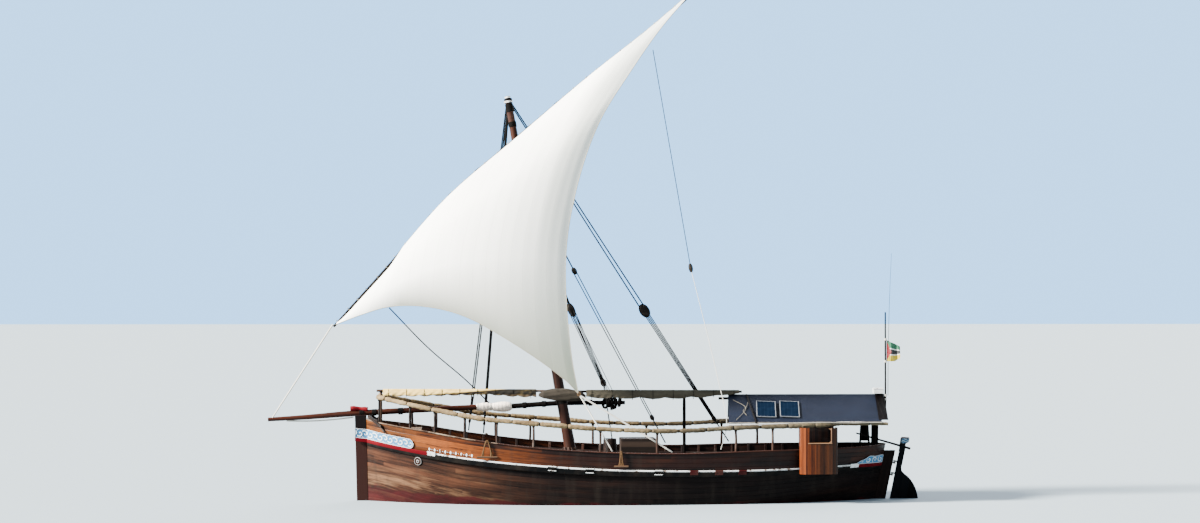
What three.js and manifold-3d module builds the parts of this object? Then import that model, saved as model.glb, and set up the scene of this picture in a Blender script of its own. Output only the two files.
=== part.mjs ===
// Wooden lateen-rigged dhow, about 24 m over spars, afloat on its waterline.
// Millimetres. +X towards the bow, +Y to port, +Z up; the origin is on the waterline plane,
// on the centreline, amidships.
import * as THREE from 'three';
import { mergeVertices } from 'three/addons/utils/BufferGeometryUtils.js';
import Module from 'manifold-3d';

const wasm = await Module();
wasm.setup();

// Driving dimensions of the hull
const KEEL_BOTTOM = -1480;
const GARBOARD_Z = -1250;
const GARBOARD_Y = 95;
const BILGE_Z = -750;
const STEM_WIDTH = 420;
const STEM_TOP = 3080;
const STERN_POST_TOP = 1760;
const STERN_RAKE = 0.21;
const POST_HALF = 92;
const SKIN = 50;
const CAP_THICK = 40;
const DECK_THICK = 45;
const CAMBER = 0.03;
const WALE_TOP = 60;
const WALE_BOTTOM = -170;
const WALE_THICK = 70;
const GAP = 2;
const BOARD_GAP = 15;

// The hull's lines, station by station from the stern rabbet to the stem rabbet.
// x at the wale, half-breadth and height of the rail and of the wale, half-breadths at the
// waterline and at the turn of the bilge.
const STATIONS = [
  { x: -9390, railY: 160, railZ: 2020, waleY: 140, waleZ: 1270, waterY: 100, bilgeY: 100 },
  { x: -8900, railY: 1010, railZ: 2000, waleY: 800, waleZ: 1275, waterY: 480, bilgeY: 200 },
  { x: -8000, railY: 1580, railZ: 1970, waleY: 1430, waleZ: 1265, waterY: 1040, bilgeY: 460 },
  { x: -6400, railY: 2150, railZ: 1930, waleY: 2080, waleZ: 1210, waterY: 1760, bilgeY: 970 },
  { x: -4400, railY: 2560, railZ: 1895, waleY: 2540, waleZ: 1160, waterY: 2330, bilgeY: 1590 },
  { x: -1800, railY: 2780, railZ: 1830, waleY: 2800, waleZ: 1165, waterY: 2680, bilgeY: 2080 },
  { x: 800, railY: 2800, railZ: 1880, waleY: 2820, waleZ: 1220, waterY: 2720, bilgeY: 2180 },
  { x: 3400, railY: 2700, railZ: 2050, waleY: 2700, waleZ: 1375, waterY: 2550, bilgeY: 1920 },
  { x: 5600, railY: 2430, railZ: 2330, waleY: 2340, waleZ: 1585, waterY: 2080, bilgeY: 1320 },
  { x: 7200, railY: 2000, railZ: 2610, waleY: 1800, waleZ: 1810, waterY: 1430, bilgeY: 730 },
  { x: 8300, railY: 1400, railZ: 2780, waleY: 1150, waleZ: 1990, waterY: 790, bilgeY: 330 },
  { x: 8900, railY: 850, railZ: 2880, waleY: 650, waleZ: 2100, waterY: 380, bilgeY: 170 },
  { x: 9290, railY: 160, railZ: 2960, waleY: 140, waleZ: 2170, waterY: 100, bilgeY: 100 },
];
const GIRTH_STEPS = 3;

const PAINT = {
  hull: [0x4a3024, 0.7], planks: [0x9a5a33, 0.55], deck: [0x8a6a48, 0.8], post: [0x3a261c, 0.7],
  rail: [0xb9a687, 0.85], trim: [0xd8d6cc, 0.6], carved: [0x8fb7c8, 0.6], canvas: [0xc9b08c, 0.9],
  greyCanvas: [0x6a6660, 0.9], roof: [0x66707c, 0.85], sail: [0xe4e2d6, 0.9], spar: [0x7c4a30, 0.6],
  dark: [0x2b211c, 0.8], rope: [0x8d8a84, 0.9], iron: [0x3a3836, 0.5], panel: [0x1c2436, 0.2],
};

const group = new THREE.Group();

// Adds one named mesh with its own material.
function add(name, geometry, paint) {
  const [color, roughness] = PAINT[paint];
  const metalness = paint === 'iron' ? 0.8 : 0;
  const mesh = new THREE.Mesh(geometry, new THREE.MeshStandardMaterial({ color, roughness, metalness }));
  mesh.name = name;
  group.add(mesh);
}

const vec = (x, y, z) => new THREE.Vector3(x, y, z);
const mix = (a, b, t) => a + (b - a) * t;

// Closed surface over rings with the same even number of points. Each end is closed by rungs
// from the ring's first half to its second, which also suits bent strips and thin sheets.
function loft(rings) {
  const count = rings[0].length;
  const index = [];
  for (let i = 0; i + 1 < rings.length; i++) {
    for (let j = 0; j < count; j++) {
      const a = i * count + j;
      const b = i * count + (j + 1) % count;
      index.push(a, b, b + count, a, b + count, a + count);
    }
  }
  const last = (rings.length - 1) * count;
  for (let j = 0; j < count / 2 - 1; j++) {
    const k = count - 1 - j;
    index.push(j, k, k - 1, j, k - 1, j + 1);
    index.push(last + j, last + k - 1, last + k, last + j, last + j + 1, last + k - 1);
  }
  const points = rings.flat();
  let volume = 0;
  for (let t = 0; t < index.length; t += 3) {
    const [a, b, c] = [points[index[t]], points[index[t + 1]], points[index[t + 2]]];
    volume += a.dot(vec(0, 0, 0).crossVectors(b, c));
  }
  if (volume < 0) index.reverse();
  const geometry = new THREE.BufferGeometry().setFromPoints(points);
  geometry.setIndex(index);
  geometry.computeVertexNormals();
  return geometry;
}

// The same shape on the other side of the boat.
function mirrored(geometry) {
  const copy = geometry.clone().scale(1, -1, 1);
  const order = Array.from(copy.index.array).reverse();
  copy.setIndex(order);
  return copy;
}

function toSolid(geometry) {
  const bare = geometry.clone();
  bare.deleteAttribute('normal');
  bare.deleteAttribute('uv');
  const merged = mergeVertices(bare, 0.001);
  return new wasm.Manifold(new wasm.Mesh({
    numProp: 3,
    vertProperties: new Float32Array(merged.attributes.position.array),
    triVerts: new Uint32Array(merged.index.array),
  }));
}

function toGeometry(solid) {
  const mesh = solid.getMesh();
  const geometry = new THREE.BufferGeometry();
  geometry.setAttribute('position', new THREE.BufferAttribute(new Float32Array(mesh.vertProperties), 3));
  geometry.setIndex(new THREE.BufferAttribute(new Uint32Array(mesh.triVerts), 1));
  geometry.computeVertexNormals();
  return geometry;
}

function joined(geometries) {
  return toGeometry(geometries.map(toSolid).reduce((whole, piece) => whole.add(piece)));
}

function cut(geometry, tool) {
  return toGeometry(toSolid(geometry).subtract(toSolid(tool)));
}

function box(low, high) {
  const size = high.map((value, i) => value - low[i]);
  const geometry = new THREE.BoxGeometry(...size);
  geometry.translate(...low.map((value, i) => value + size[i] / 2));
  return geometry;
}

// A many-sided ring about a centre, in the plane of two given directions.
function ring(centre, u, v, radius, sides) {
  const points = [];
  for (let i = 0; i < sides; i++) {
    const angle = (i + 0.5) * 2 * Math.PI / sides;
    points.push(centre.clone()
      .addScaledVector(u, radius * Math.cos(angle))
      .addScaledVector(v, radius * Math.sin(angle)));
  }
  return points;
}

// A pole of even thickness along a straight or smoothly curved route.
function pole(route, radius, sides = 8, steps = 1) {
  const outline = new THREE.Shape(ring(vec(0, 0, 0), vec(1, 0, 0), vec(0, 1, 0), radius, sides)
    .map((p) => new THREE.Vector2(p.x, p.y)));
  const extrudePath = route.length === 2
    ? new THREE.LineCurve3(route[0], route[1])
    : new THREE.CatmullRomCurve3(route, false, 'centripetal');
  return new THREE.ExtrudeGeometry(outline, { steps, bevelEnabled: false, extrudePath });
}

// A tapered spar: a row of centres with the radius at each.
function spar(rows, sides = 12) {
  const centres = rows.map(([x, y, z]) => vec(x, y, z));
  return loft(rows.map(([, , , radius], i) => {
    const before = centres[Math.max(i - 1, 0)];
    const after = centres[Math.min(i + 1, rows.length - 1)];
    const along = after.clone().sub(before).normalize();
    const u = vec(0, 1, 0).addScaledVector(along, -along.y).normalize();
    const v = vec(0, 0, 0).crossVectors(along, u);
    return ring(centres[i], u, v, radius, sides);
  }));
}

// An outline in the X-Z plane, given thickness across the boat about the plane at height y.
function profile(points, y, thickness) {
  const shape = new THREE.Shape(points.map(([x, z]) => new THREE.Vector2(x, z)));
  const geometry = new THREE.ExtrudeGeometry(shape, { depth: thickness, bevelEnabled: false });
  geometry.rotateX(Math.PI / 2);
  geometry.translate(0, y + thickness / 2, 0);
  return geometry;
}

// Smooth value of one column of the station table.
function fair(column, x) {
  let i = 0;
  while (i < STATIONS.length - 2 && x > STATIONS[i + 1].x) i++;
  const slope = (k) => {
    const a = STATIONS[Math.max(k - 1, 0)];
    const b = STATIONS[Math.min(k + 1, STATIONS.length - 1)];
    return (b[column] - a[column]) / (b.x - a.x);
  };
  const [p, q] = [STATIONS[i], STATIONS[i + 1]];
  const span = q.x - p.x;
  const t = (x - p.x) / span;
  return (2 * t ** 3 - 3 * t ** 2 + 1) * p[column] + (t ** 3 - 2 * t ** 2 + t) * span * slope(i)
    + (3 * t ** 2 - 2 * t ** 3) * q[column] + (t ** 3 - t ** 2) * span * slope(i + 1);
}

// Where the planking ends on the two posts, at a given height.
const sternRabbet = (z) => -9130 - STERN_RAKE * z;
const stemRabbet = (z) => 9240 + 0.026 * Math.max(z, 0) - 1350 * (Math.min(z, 0) / GARBOARD_Z) ** 2;

// Every ring of the hull: two per interval of the station table, four in the full ends.
const FRACTIONS = STATIONS.slice(0, -1).flatMap(({ x }, i) => {
  const rings = i === 0 || i === STATIONS.length - 2 ? 4 : 2;
  return Array.from({ length: rings }, (_, k) => mix(x, STATIONS[i + 1].x, k / rings));
}).concat(STATIONS.at(-1).x).map((x) => (x - STATIONS[0].x) / (STATIONS.at(-1).x - STATIONS[0].x));

const SECTIONS = FRACTIONS.map((fraction) => {
  const x = mix(STATIONS[0].x, STATIONS.at(-1).x, fraction);
  const [waleY, waleZ, railY, railZ] = ['waleY', 'waleZ', 'railY', 'railZ'].map((key) => fair(key, x));
  const knots = [[GARBOARD_Y, GARBOARD_Z], [fair('bilgeY', x), BILGE_Z], [fair('waterY', x), 0],
    [waleY, waleZ]];
  const curve = new THREE.SplineCurve(knots.map(([y, z]) => new THREE.Vector2(y, z)));
  return { fraction, waleY, waleZ, railY, railZ, skin: curve.getPoints(3 * GIRTH_STEPS) };
});

// A point of the boat's side: fraction of the length, half-breadth and height.
const place = (fraction, y, z) => vec(mix(sternRabbet(z), stemRabbet(z), fraction), y, z);

// The section at any fraction, straight between two rings, as the planking's facets are.
function sectionAt(fraction) {
  const i = Math.min(Math.max(FRACTIONS.findIndex((f) => f >= fraction), 1), FRACTIONS.length - 1);
  const [p, q] = [SECTIONS[i - 1], SECTIONS[i]];
  const t = (fraction - p.fraction) / (q.fraction - p.fraction);
  const row = { fraction, skin: p.skin.map((point, k) => point.clone().lerp(q.skin[k], t)) };
  for (const key of ['waleY', 'waleZ', 'railY', 'railZ']) row[key] = mix(p[key], q[key], t);
  return row;
}

// Half-breadth of the outside of a section at a height.
function outside(section, z) {
  const line = [...section.skin.map((p) => [p.x, p.y]), [section.railY, section.railZ]];
  const i = Math.max(1, line.findIndex(([, height]) => height >= z));
  const [[y0, z0], [y1, z1]] = [line[i - 1], line[i]];
  return mix(y0, y1, (z - z0) / (z1 - z0));
}

// The fraction of the length at a given x and height, and all rings between two fractions.
const fractionAt = (x, z) => (x - sternRabbet(z)) / (stemRabbet(z) - sternRabbet(z));
const between = (from, to) => [from, ...FRACTIONS.filter((f) => f > from + 0.002 && f < to - 0.002), to];

// Height of the hull's top under the deck, which rises from the side to the middle.
function deckBed(section, y) {
  const part = Math.abs(y) / section.waleY;
  const rise = part < 0.5 ? 0.75 : 1.5 * (1 - part);
  return section.waleZ + CAMBER * section.waleY * rise;
}

// Height of the deck's upper face on the centreline, at x.
function deckTop(x) {
  const section = sectionAt(fractionAt(x, 1300));
  return deckBed(section, 0) + GAP + DECK_THICK;
}

// A block on the deck between two x, with a level top.
function deckBlock(from, to, half, top) {
  const xs = Array.from({ length: 5 }, (_, i) => mix(from, to, i / 4));
  return loft(xs.map((x) => {
    const low = deckTop(x) + 3 * GAP;
    return [vec(x, -half, low), vec(x, -half, top), vec(x, half, top), vec(x, half, low)];
  }));
}

function hull() {
  return loft(SECTIONS.map((section) => {
    const { fraction, skin, waleY } = section;
    const side = (sign) => skin.map((p) => place(fraction, sign * p.x, p.y));
    const top = [0.5, -0.5].map((part) => place(fraction, part * waleY, deckBed(section, part * waleY)));
    return [...side(1), ...top, ...side(-1).reverse()];
  }));
}

function deck() {
  return loft(SECTIONS.slice(1, -1).map((section) => {
    const edge = section.waleY - SKIN - 2 * GAP;
    const across = [edge, section.waleY / 2, -section.waleY / 2, -edge];
    const face = (rise) => across.map((y) => place(section.fraction, y, deckBed(section, y) + rise));
    return [...face(GAP), ...face(GAP + DECK_THICK).reverse()];
  }));
}

function bulwark() {
  return loft(SECTIONS.map((section) => {
    const { fraction, railZ, waleY } = section;
    const foot = (y) => place(fraction, y, deckBed(section, y) + GAP);
    const head = railZ - CAP_THICK - GAP;
    const middle = (section.waleZ + head) / 2;
    const outer = [middle, head].map((z) => place(fraction, outside(section, z), z));
    const inner = [head, middle].map((z) => place(fraction, outside(section, z) - SKIN, z));
    return [foot(waleY), ...outer, ...inner, foot(waleY - SKIN)];
  }));
}

function capRail() {
  return loft(SECTIONS.map(({ fraction, railY, railZ }) => {
    const [outer, inner] = [railY + 35, railY - SKIN - 45];
    return [place(fraction, outer, railZ - CAP_THICK), place(fraction, outer, railZ),
      place(fraction, inner, railZ), place(fraction, inner, railZ - CAP_THICK)];
  }));
}

// A board bent round the outside of the planking: fractions from and to, and for each its
// lower and upper edge above the wale's line.
function sideBoard(from, to, edges, thickness, gap = BOARD_GAP) {
  return loft(between(from, to).map((fraction) => {
    const section = sectionAt(fraction);
    const [low, high] = edges((fraction - from) / (to - from)).map((rise) => section.waleZ + rise);
    const [yLow, yHigh] = [outside(section, low) + gap, outside(section, high) + gap];
    return [place(fraction, yLow, low), place(fraction, yLow + thickness, low),
      place(fraction, yHigh + thickness, high), place(fraction, yHigh, high)];
  }));
}

// Where the ends of the deck beams stand out through the wale.
const BEAM_HEADS = [2700, 1380, -1050, -2310, -3200, -4050];
const BEAM_HEAD = { length: 300, height: 170, depth: 110 };

function wale() {
  const strake = sideBoard(0, 1, () => [WALE_BOTTOM, WALE_TOP], WALE_THICK);
  const heads = BEAM_HEADS.map((x) => {
    const section = sectionAt(fractionAt(x, 1200));
    const { length, height, depth } = BEAM_HEAD;
    const inner = section.waleY + 30;
    return box([x - length / 2, inner, section.waleZ - height / 2],
      [x + length / 2, inner + depth, section.waleZ + height / 2]);
  });
  return joined([strake, ...heads]);
}

// The bow's ornament board runs from the planking forward along the stem's side.
function bowBoard() {
  const [low, high, thickness] = [WALE_TOP + 8, WALE_TOP + 345, 28];
  const from = fractionAt(7600, 2100);
  const rings = between(from, 1).map((fraction) => {
    const section = sectionAt(fraction);
    const shrink = fraction === from ? 60 : 0;
    const [z0, z1] = [section.waleZ + low + shrink, section.waleZ + high - shrink];
    return [[z0, 0], [z0, thickness], [z1, thickness], [z1, 0]]
      .map(([z, out]) => place(fraction, outside(section, z) + BOARD_GAP + out, z));
  });
  const bow = sectionAt(1);
  const forward = STEM_WIDTH + 10;
  const lead = [[low, 0], [low, thickness], [high, thickness], [high, 0]].map(([rise, out]) => {
    const z = bow.waleZ + rise + 40;
    return vec(stemRabbet(z) + forward, outside(bow, bow.waleZ + rise) + BOARD_GAP + out, z);
  });
  return loft([...rings, lead]);
}

function sternBoard() {
  const rise = (t) => [WALE_TOP + 8, WALE_TOP + 110 + 110 * (0.5 + 0.5 * Math.cos(Math.PI * t))];
  return sideBoard(0, fractionAt(-8300, 1300), rise, 28);
}

// A round painted eye set on the planking below the wale.
function eye() {
  const z = 1515;
  const section = sectionAt(fractionAt(7420, z));
  const here = place(section.fraction, outside(section, z), z);
  const ahead = sectionAt(section.fraction + 0.01);
  const forward = place(ahead.fraction, outside(ahead, z), z).sub(here);
  const up = place(section.fraction, outside(section, z + 100), z + 100).sub(here);
  const normal = vec(0, 0, 0).crossVectors(up, forward).normalize();
  const disc = new THREE.CylinderGeometry(146, 146, 26, 20);
  disc.applyQuaternion(new THREE.Quaternion().setFromUnitVectors(vec(0, 1, 0), normal));
  const centre = here.addScaledVector(normal, 13 + 12);
  return disc.translate(centre.x, centre.y, centre.z);
}

add('hull', hull(), 'hull');
add('deck', deck(), 'deck');
const sidePieces = { bulwark: [bulwark(), 'planks'], cap_rail: [capRail(), 'planks'], wale: [wale(), 'trim'],
  bow_board: [bowBoard(), 'carved'], stern_board: [sternBoard(), 'carved'], bow_eye: [eye(), 'trim'] };
for (const [name, [geometry, paint]] of Object.entries(sidePieces)) {
  add(`${name}_port`, geometry, paint);
  add(`${name}_starboard`, mirrored(geometry), paint);
}

// Keel, stem and stern post
const LEVELS = SECTIONS.at(-1).skin.map((p) => p.y);
const forefoot = stemRabbet(GARBOARD_Z) + GAP;
const stemAft = LEVELS.map((z) => [stemRabbet(z) + 2 * GAP, z]);
const stemFore = LEVELS.map((z) => [stemRabbet(z) + STEM_WIDTH, z]);
const stemHead = [[stemRabbet(STEM_TOP) + 2 * GAP, STEM_TOP - 90],
  [stemRabbet(STEM_TOP) + STEM_WIDTH, STEM_TOP]];
const stemOutline = [[forefoot + 2, KEEL_BOTTOM], ...stemAft, ...stemHead, ...stemFore.reverse(),
  [forefoot + 330, KEEL_BOTTOM]];
add('stem_post', profile(stemOutline, 0, 2 * POST_HALF), 'post');

const postFore = (z) => sternRabbet(z) - 2 * GAP;
const postAft = (z) => -9550 - STERN_RAKE * z;
const sternOutline = [[postFore(KEEL_BOTTOM), KEEL_BOTTOM], [postAft(KEEL_BOTTOM), KEEL_BOTTOM],
  [postAft(STERN_POST_TOP), STERN_POST_TOP], [postFore(STERN_POST_TOP), STERN_POST_TOP]];
add('stern_post', profile(sternOutline, 0, 2 * POST_HALF), 'post');
add('keel', box([postFore(KEEL_BOTTOM) + 330, -POST_HALF, KEEL_BOTTOM],
  [forefoot, POST_HALF, GARBOARD_Z - GAP]), 'post');

// Raised deck in the bow, on its bulkhead
const FOREDECK = { z: 2560, thick: 50, aft: 7350, fore: 9000 };
function foredeck() {
  const from = fractionAt(FOREDECK.aft, FOREDECK.z);
  const to = fractionAt(FOREDECK.fore, FOREDECK.z);
  const slab = loft(between(from, to).map((fraction) => {
    const section = sectionAt(fraction);
    const edge = (z) => outside(section, z) - SKIN - 12;
    const [top, low] = [FOREDECK.z, FOREDECK.z - FOREDECK.thick];
    return [place(fraction, edge(low), low), place(fraction, edge(low), top),
      place(fraction, -edge(low), top), place(fraction, -edge(low), low)];
  }));
  const foot = deckTop(FOREDECK.aft + 60) + 12;
  const width = outside(sectionAt(from), foot) - SKIN - 120;
  const bulkhead = box([FOREDECK.aft + 2, -width, foot], [FOREDECK.aft + 52, width, FOREDECK.z - 20]);
  return joined([slab, bulkhead]);
}
add('foredeck', foredeck(), 'deck');

// Rudder, hung on a raked line of pintles just behind the stern post
const axisX = (z) => -9620 - STERN_RAKE * z;
const RUDDER_AXIS = vec(-STERN_RAKE, 0, 1).normalize();
const RUDDER_TOP = 1690;
const stockFore = (z) => -9725 - 0.2 * z;
const bladeAft = new THREE.SplineCurve([[-10275, RUDDER_TOP], [-10200, 1330], [-10160, 1010], [-10450, 740],
  [-10660, 400], [-10760, 0], [-10840, -520], [-10700, -1080], [-10250, -1400]]
  .map(([x, z]) => new THREE.Vector2(x, z))).getPoints(20).map((p) => [p.x, p.y]);
const bladeFore = [[stockFore(-1400), -1400], [stockFore(RUDDER_TOP), RUDDER_TOP]];
add('rudder_blade', profile([...bladeFore, ...bladeAft], 0, 96), 'dark');

const TILLER = [vec(-8490, 0, 2385), vec(-10490, 0, 1810)];
function tillerBar(width, height) {
  const along = TILLER[1].clone().sub(TILLER[0]).normalize();
  const up = vec(0, 0, 0).crossVectors(vec(0, 1, 0), along).multiplyScalar(-1);
  const section = (centre, scale) => [[-1, -1], [-1, 1], [1, 1], [1, -1]].map(([y, z]) => centre.clone()
    .addScaledVector(vec(0, 1, 0), y * scale * width / 2).addScaledVector(up, z * scale * height / 2));
  const swell = TILLER[0].clone().lerp(TILLER[1], 0.7);
  return loft([section(TILLER[0], 0.62), section(swell, 1), section(TILLER[1], 1)]);
}
const headOutline = [[-10064, RUDDER_TOP + 2], [-10135, 2190], [-10180, 2240], [-10445, 2225], [-10430, 2060],
  [-10310, 2000], [-10276, RUDDER_TOP + 2]];
const mortise = tillerBar(82, 96);
add('rudder_head', cut(profile(headOutline, 0, 180), mortise), 'dark');
add('tiller', tillerBar(76, 90), 'dark');

// Gudgeons on the post, and pintles on the rudder that drop into them
const HANGERS = [1270, 840, -560];
const EYE = { outer: 46, bore: 19, pin: 15, height: 58 };
function strap(reach, bore) {
  const turned = reach > 0 ? Math.PI : 0;
  const round = Array.from({ length: 9 }, (_, i) => turned + Math.PI * (i / 8 - 0.5))
    .map((angle) => new THREE.Vector2(EYE.outer * Math.cos(angle), EYE.outer * Math.sin(angle)));
  const side = Math.sign(reach) * EYE.outer;
  const shape = new THREE.Shape([new THREE.Vector2(reach, side), ...round, new THREE.Vector2(reach, -side)]);
  if (bore) {
    const edge = ring(vec(0, 0, 0), vec(1, 0, 0), vec(0, 1, 0), EYE.bore, 16);
    shape.holes.push(new THREE.Path(edge.map((p) => new THREE.Vector2(p.x, p.y))));
  }
  return new THREE.ExtrudeGeometry(shape, { depth: EYE.height, bevelEnabled: false });
}
HANGERS.forEach((z, i) => {
  const tilt = new THREE.Quaternion().setFromUnitVectors(vec(0, 0, 1), RUDDER_AXIS);
  const put = (geometry) => geometry.applyQuaternion(tilt).translate(axisX(z), 0, z);
  add(`gudgeon_${i + 1}`, put(strap(66, true)), 'iron');
  const pin = new THREE.CylinderGeometry(EYE.pin, EYE.pin, 120, 12).rotateX(Math.PI / 2).translate(0, 0, 36);
  const reach = (axisX(z + 100) - stockFore(z + 100)) * RUDDER_AXIS.z - GAP;
  const arm = strap(-reach, false).translate(0, 0, EYE.height + 8);
  add(`pintle_${i + 1}`, put(joined([arm, pin])), 'iron');
});

// Mast, raked forward, in its step on the deck
const MAST_RAKE = 0.1787;
const mastX = (z) => 1980 + MAST_RAKE * (z - 2000);
const STEP_TOP = deckTop(1600) + 150;
add('mast_step', deckBlock(1430, 2300, 330, STEP_TOP), 'post');
// Columns: height, radius; the last four rows are the cap.
const MAST_ROWS = [[STEP_TOP + 1, 212], [3000, 192], [6000, 168], [10000, 148], [13000, 134],
  [14390, 125], [14400, 158], [14560, 158], [14650, 95]];
const mastRings = MAST_ROWS.map(([z, radius]) => ring(vec(mastX(z), 0, z), vec(1, 0, 0),
  vec(0, 1, 0), radius, 14));
add('mast', loft(mastRings), 'spar');

// Lateen sail: three edges and the cloth between them, bellied to port
// Columns: x, y, z.
const LUFF = [[10490, 120, 6400], [8550, 210, 8540], [6400, 340, 10980], [3830, 510, 13190],
  [1350, 900, 15290], [-830, 1300, 17010], [-2480, 1520, 18420]];
const LEECH = [[-2480, 1520, 18420], [-1280, 1560, 17030], [-170, 1600, 15450], [1010, 1750, 13510],
  [1840, 1900, 11030], [2190, 2050, 8660], [2020, 2150, 5480], [1750, 2200, 3920]];
const FOOT = [[10490, 120, 6330], [9510, 420, 6700], [8490, 700, 6990], [7300, 1080, 7010],
  [5840, 1500, 6670], [3850, 1930, 5570], [2220, 2150, 4400], [1750, 2200, 3920]];
const SAIL_THICK = 14;
const BELLY = 620;
const edge = (rows) => new THREE.CatmullRomCurve3(rows.map((p) => vec(...p)), false, 'centripetal');
const [luff, leech, foot] = [LUFF, LEECH, FOOT].map(edge);

// r runs from the tack to the leech, a from the luff to the foot.
function sailPoint(r, a) {
  const leechEnds = luff.getPoint(1).lerp(foot.getPoint(1), a);
  const point = luff.getPointAt(r).lerp(foot.getPointAt(r), a);
  point.addScaledVector(leech.getPointAt(a).sub(leechEnds), r * r);
  point.y += BELLY * 4 * a * (1 - a) * Math.sin(Math.PI * Math.min(r, 0.98) ** 1.2);
  return point;
}

function sail(alongSteps, acrossSteps) {
  const rings = [];
  for (let i = 0; i <= alongSteps; i++) {
    const r = mix(0.015, 1, i / alongSteps);
    const face = Array.from({ length: acrossSteps + 1 }, (_, j) => sailPoint(r, j / acrossSteps));
    rings.push([...face, ...face.map((p) => p.clone().setY(p.y - SAIL_THICK)).reverse()]);
  }
  return loft(rings);
}
add('sail', sail(14, 9), 'sail');

// The yard lies behind the sail's head, seized to it along its length
const YARD_RADII = [42, 62, 84, 100, 92, 70, 40];
const YARD_OFFSET = vec(-52, -155, -46);
const yardCentre = luff.getPoints(60).map((p) => p.add(YARD_OFFSET));
function yard() {
  const rows = Array.from({ length: 16 }, (_, i) => {
    const t = i / 15;
    const k = Math.min(Math.floor(t * 6), 5);
    return [...yardCentre[Math.round(t * 60)].toArray(), mix(YARD_RADII[k], YARD_RADII[k + 1], t * 6 - k)];
  });
  const start = vec(...rows[0]).sub(vec(...rows[1])).setLength(110).add(vec(...rows[0]));
  return spar([[start.x, start.y, start.z, 36], ...rows], 10);
}
add('yard', yard(), 'spar');

// The parrel holds the yard to the mast and turns about it
const PARREL_Z = 12850;
const mastAxis = new THREE.Quaternion().setFromUnitVectors(vec(0, 0, 1), vec(MAST_RAKE, 0, 1).normalize());
const parrel = new THREE.TorusGeometry(178, 24, 8, 20).applyQuaternion(mastAxis);
add('parrel', parrel.translate(mastX(PARREL_Z), 0, PARREL_Z), 'rope');

// Bowsprit and the dark spar that lies in line with it, with a padded sleeve over the joint.
// Columns: x, y, z, radius.
const BOWSPRIT = [[12870, -60, 2925, 44], [11500, -110, 3005, 78], [9740, -210, 3135, 95],
  [4130, -330, 3400, 95]];
const SPARE_SPAR = [[4100, -330, 3375, 95], [2390, -345, 3480, 92], [-60, -345, 3500, 70]];
const SLEEVE = [[5360, -305, 3343, 120], [5100, -308, 3345, 165], [4300, -326, 3360, 170],
  [4060, -330, 3370, 150]];
const SLEEVE_BORE = [[5460, -302, 3338, 98], [4130, -330, 3400, 98], [4100, -330, 3375, 98],
  [3960, -331, 3384, 98]];
add('bowsprit', spar(BOWSPRIT), 'spar');
add('spare_spar', spar(SPARE_SPAR), 'dark');
add('spar_padding', cut(spar(SLEEVE, 14), spar(SLEEVE_BORE)), 'trim');

// Side rails: one long pole on posts that stand on the cap rail; further aft the pole carries
// the eaves of the shelter. Columns: x, y, z.
const RAIL_ROUTE = [[8900, 800, 3760], [7680, 1640, 3510], [6710, 2080, 3320], [5230, 2400, 3050],
  [4000, 2540, 2930], [2590, 2680, 2820], [1010, 2730, 2690], [-1750, 2710, 2610],
  [-3720, 2520, 2700], [-5910, 2330, 2760], [-7500, 2260, 2810], [-9290, 2250, 2820]];
const RAIL_POSTS = [8820, 7700, 6850, 5770, 4630, 3330, 990, -1000, -3790, -5160];
const RAIL_RADIUS = 52;
function sideRail() {
  const route = RAIL_ROUTE.map((p) => vec(...p));
  const line = new THREE.CatmullRomCurve3(route, false, 'centripetal').getSpacedPoints(200);
  const posts = RAIL_POSTS.map((x) => {
    const nearer = (best, p) => (Math.abs(p.x - x) < Math.abs(best.x - x) ? p : best);
    const head = line.reduce(nearer);
    const section = sectionAt(fractionAt(x, 2200));
    return pole([vec(head.x, section.railY - 40, section.railZ + 12), head], 38, 6);
  });
  return joined([pole(route, RAIL_RADIUS, 8, 40), ...posts]);
}
const rail = sideRail();
add('side_rail_port', rail, 'rail');
add('side_rail_starboard', mirrored(rail), 'rail');

// Awning poles on the centreline, lashed to the mast's port side, with canvas folded over them
const POLE_R = 45;
const AWNING_Y = 330;
const FORE_POLE = [vec(8960, 0, 3960), vec(2330, AWNING_Y, 3950)];
const AFT_POLE = [vec(2270, AWNING_Y, 3930), vec(-4300, 0, 3900)];
const bowPost = pole([vec(8800, 0, FOREDECK.z + GAP), vec(8800, 0, 3960)], 50, 8);
const centrePost = spar([[-2190, 105, deckTop(-2190) + GAP, 62], [-2190, 105, 3700, 58],
  [-2190, 106, 3878, 38]], 8);
add('awning_fore_pole', joined([pole(FORE_POLE, POLE_R), bowPost]), 'spar');
add('awning_aft_pole', joined([pole(AFT_POLE, POLE_R), centrePost]), 'dark');

// A cloth folded over a pole. Columns of the rows: fraction along the pole, half width, drop.
function foldedCloth([from, to], rows, thick) {
  return loft(rows.map(([t, half, drop]) => {
    const top = from.clone().lerp(to, t).add(vec(0, 0, POLE_R + 6 + thick));
    const at = (y, z) => vec(top.x, top.y + y, top.z - z);
    const shoulder = POLE_R + 6 + thick;
    return [at(-half, drop), at(-shoulder, 30), at(-20, 0), at(20, 0), at(shoulder, 30), at(half, drop),
      at(half - thick, drop), at(shoulder - thick, 30 + thick), at(15, thick), at(-15, thick),
      at(thick - shoulder, 30 + thick), at(thick - half, drop)];
  }));
}
const FORE_FOLDS = [[0.035, 110, 270], [0.2, 130, 300], [0.45, 120, 260], [0.6, 110, 230],
  [0.8, 130, 330], [0.87, 130, 330]];
const AFT_FOLDS = [[0.135, 150, 330], [0.342, 160, 350], [0.541, 160, 370], [0.658, 150, 350],
  [0.775, 140, 310], [0.888, 110, 230], [0.985, 100, 150]];
add('awning_fore', foldedCloth(FORE_POLE, FORE_FOLDS, 20), 'canvas');
add('awning_aft', foldedCloth(AFT_POLE, AFT_FOLDS, 20), 'greyCanvas');

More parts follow.
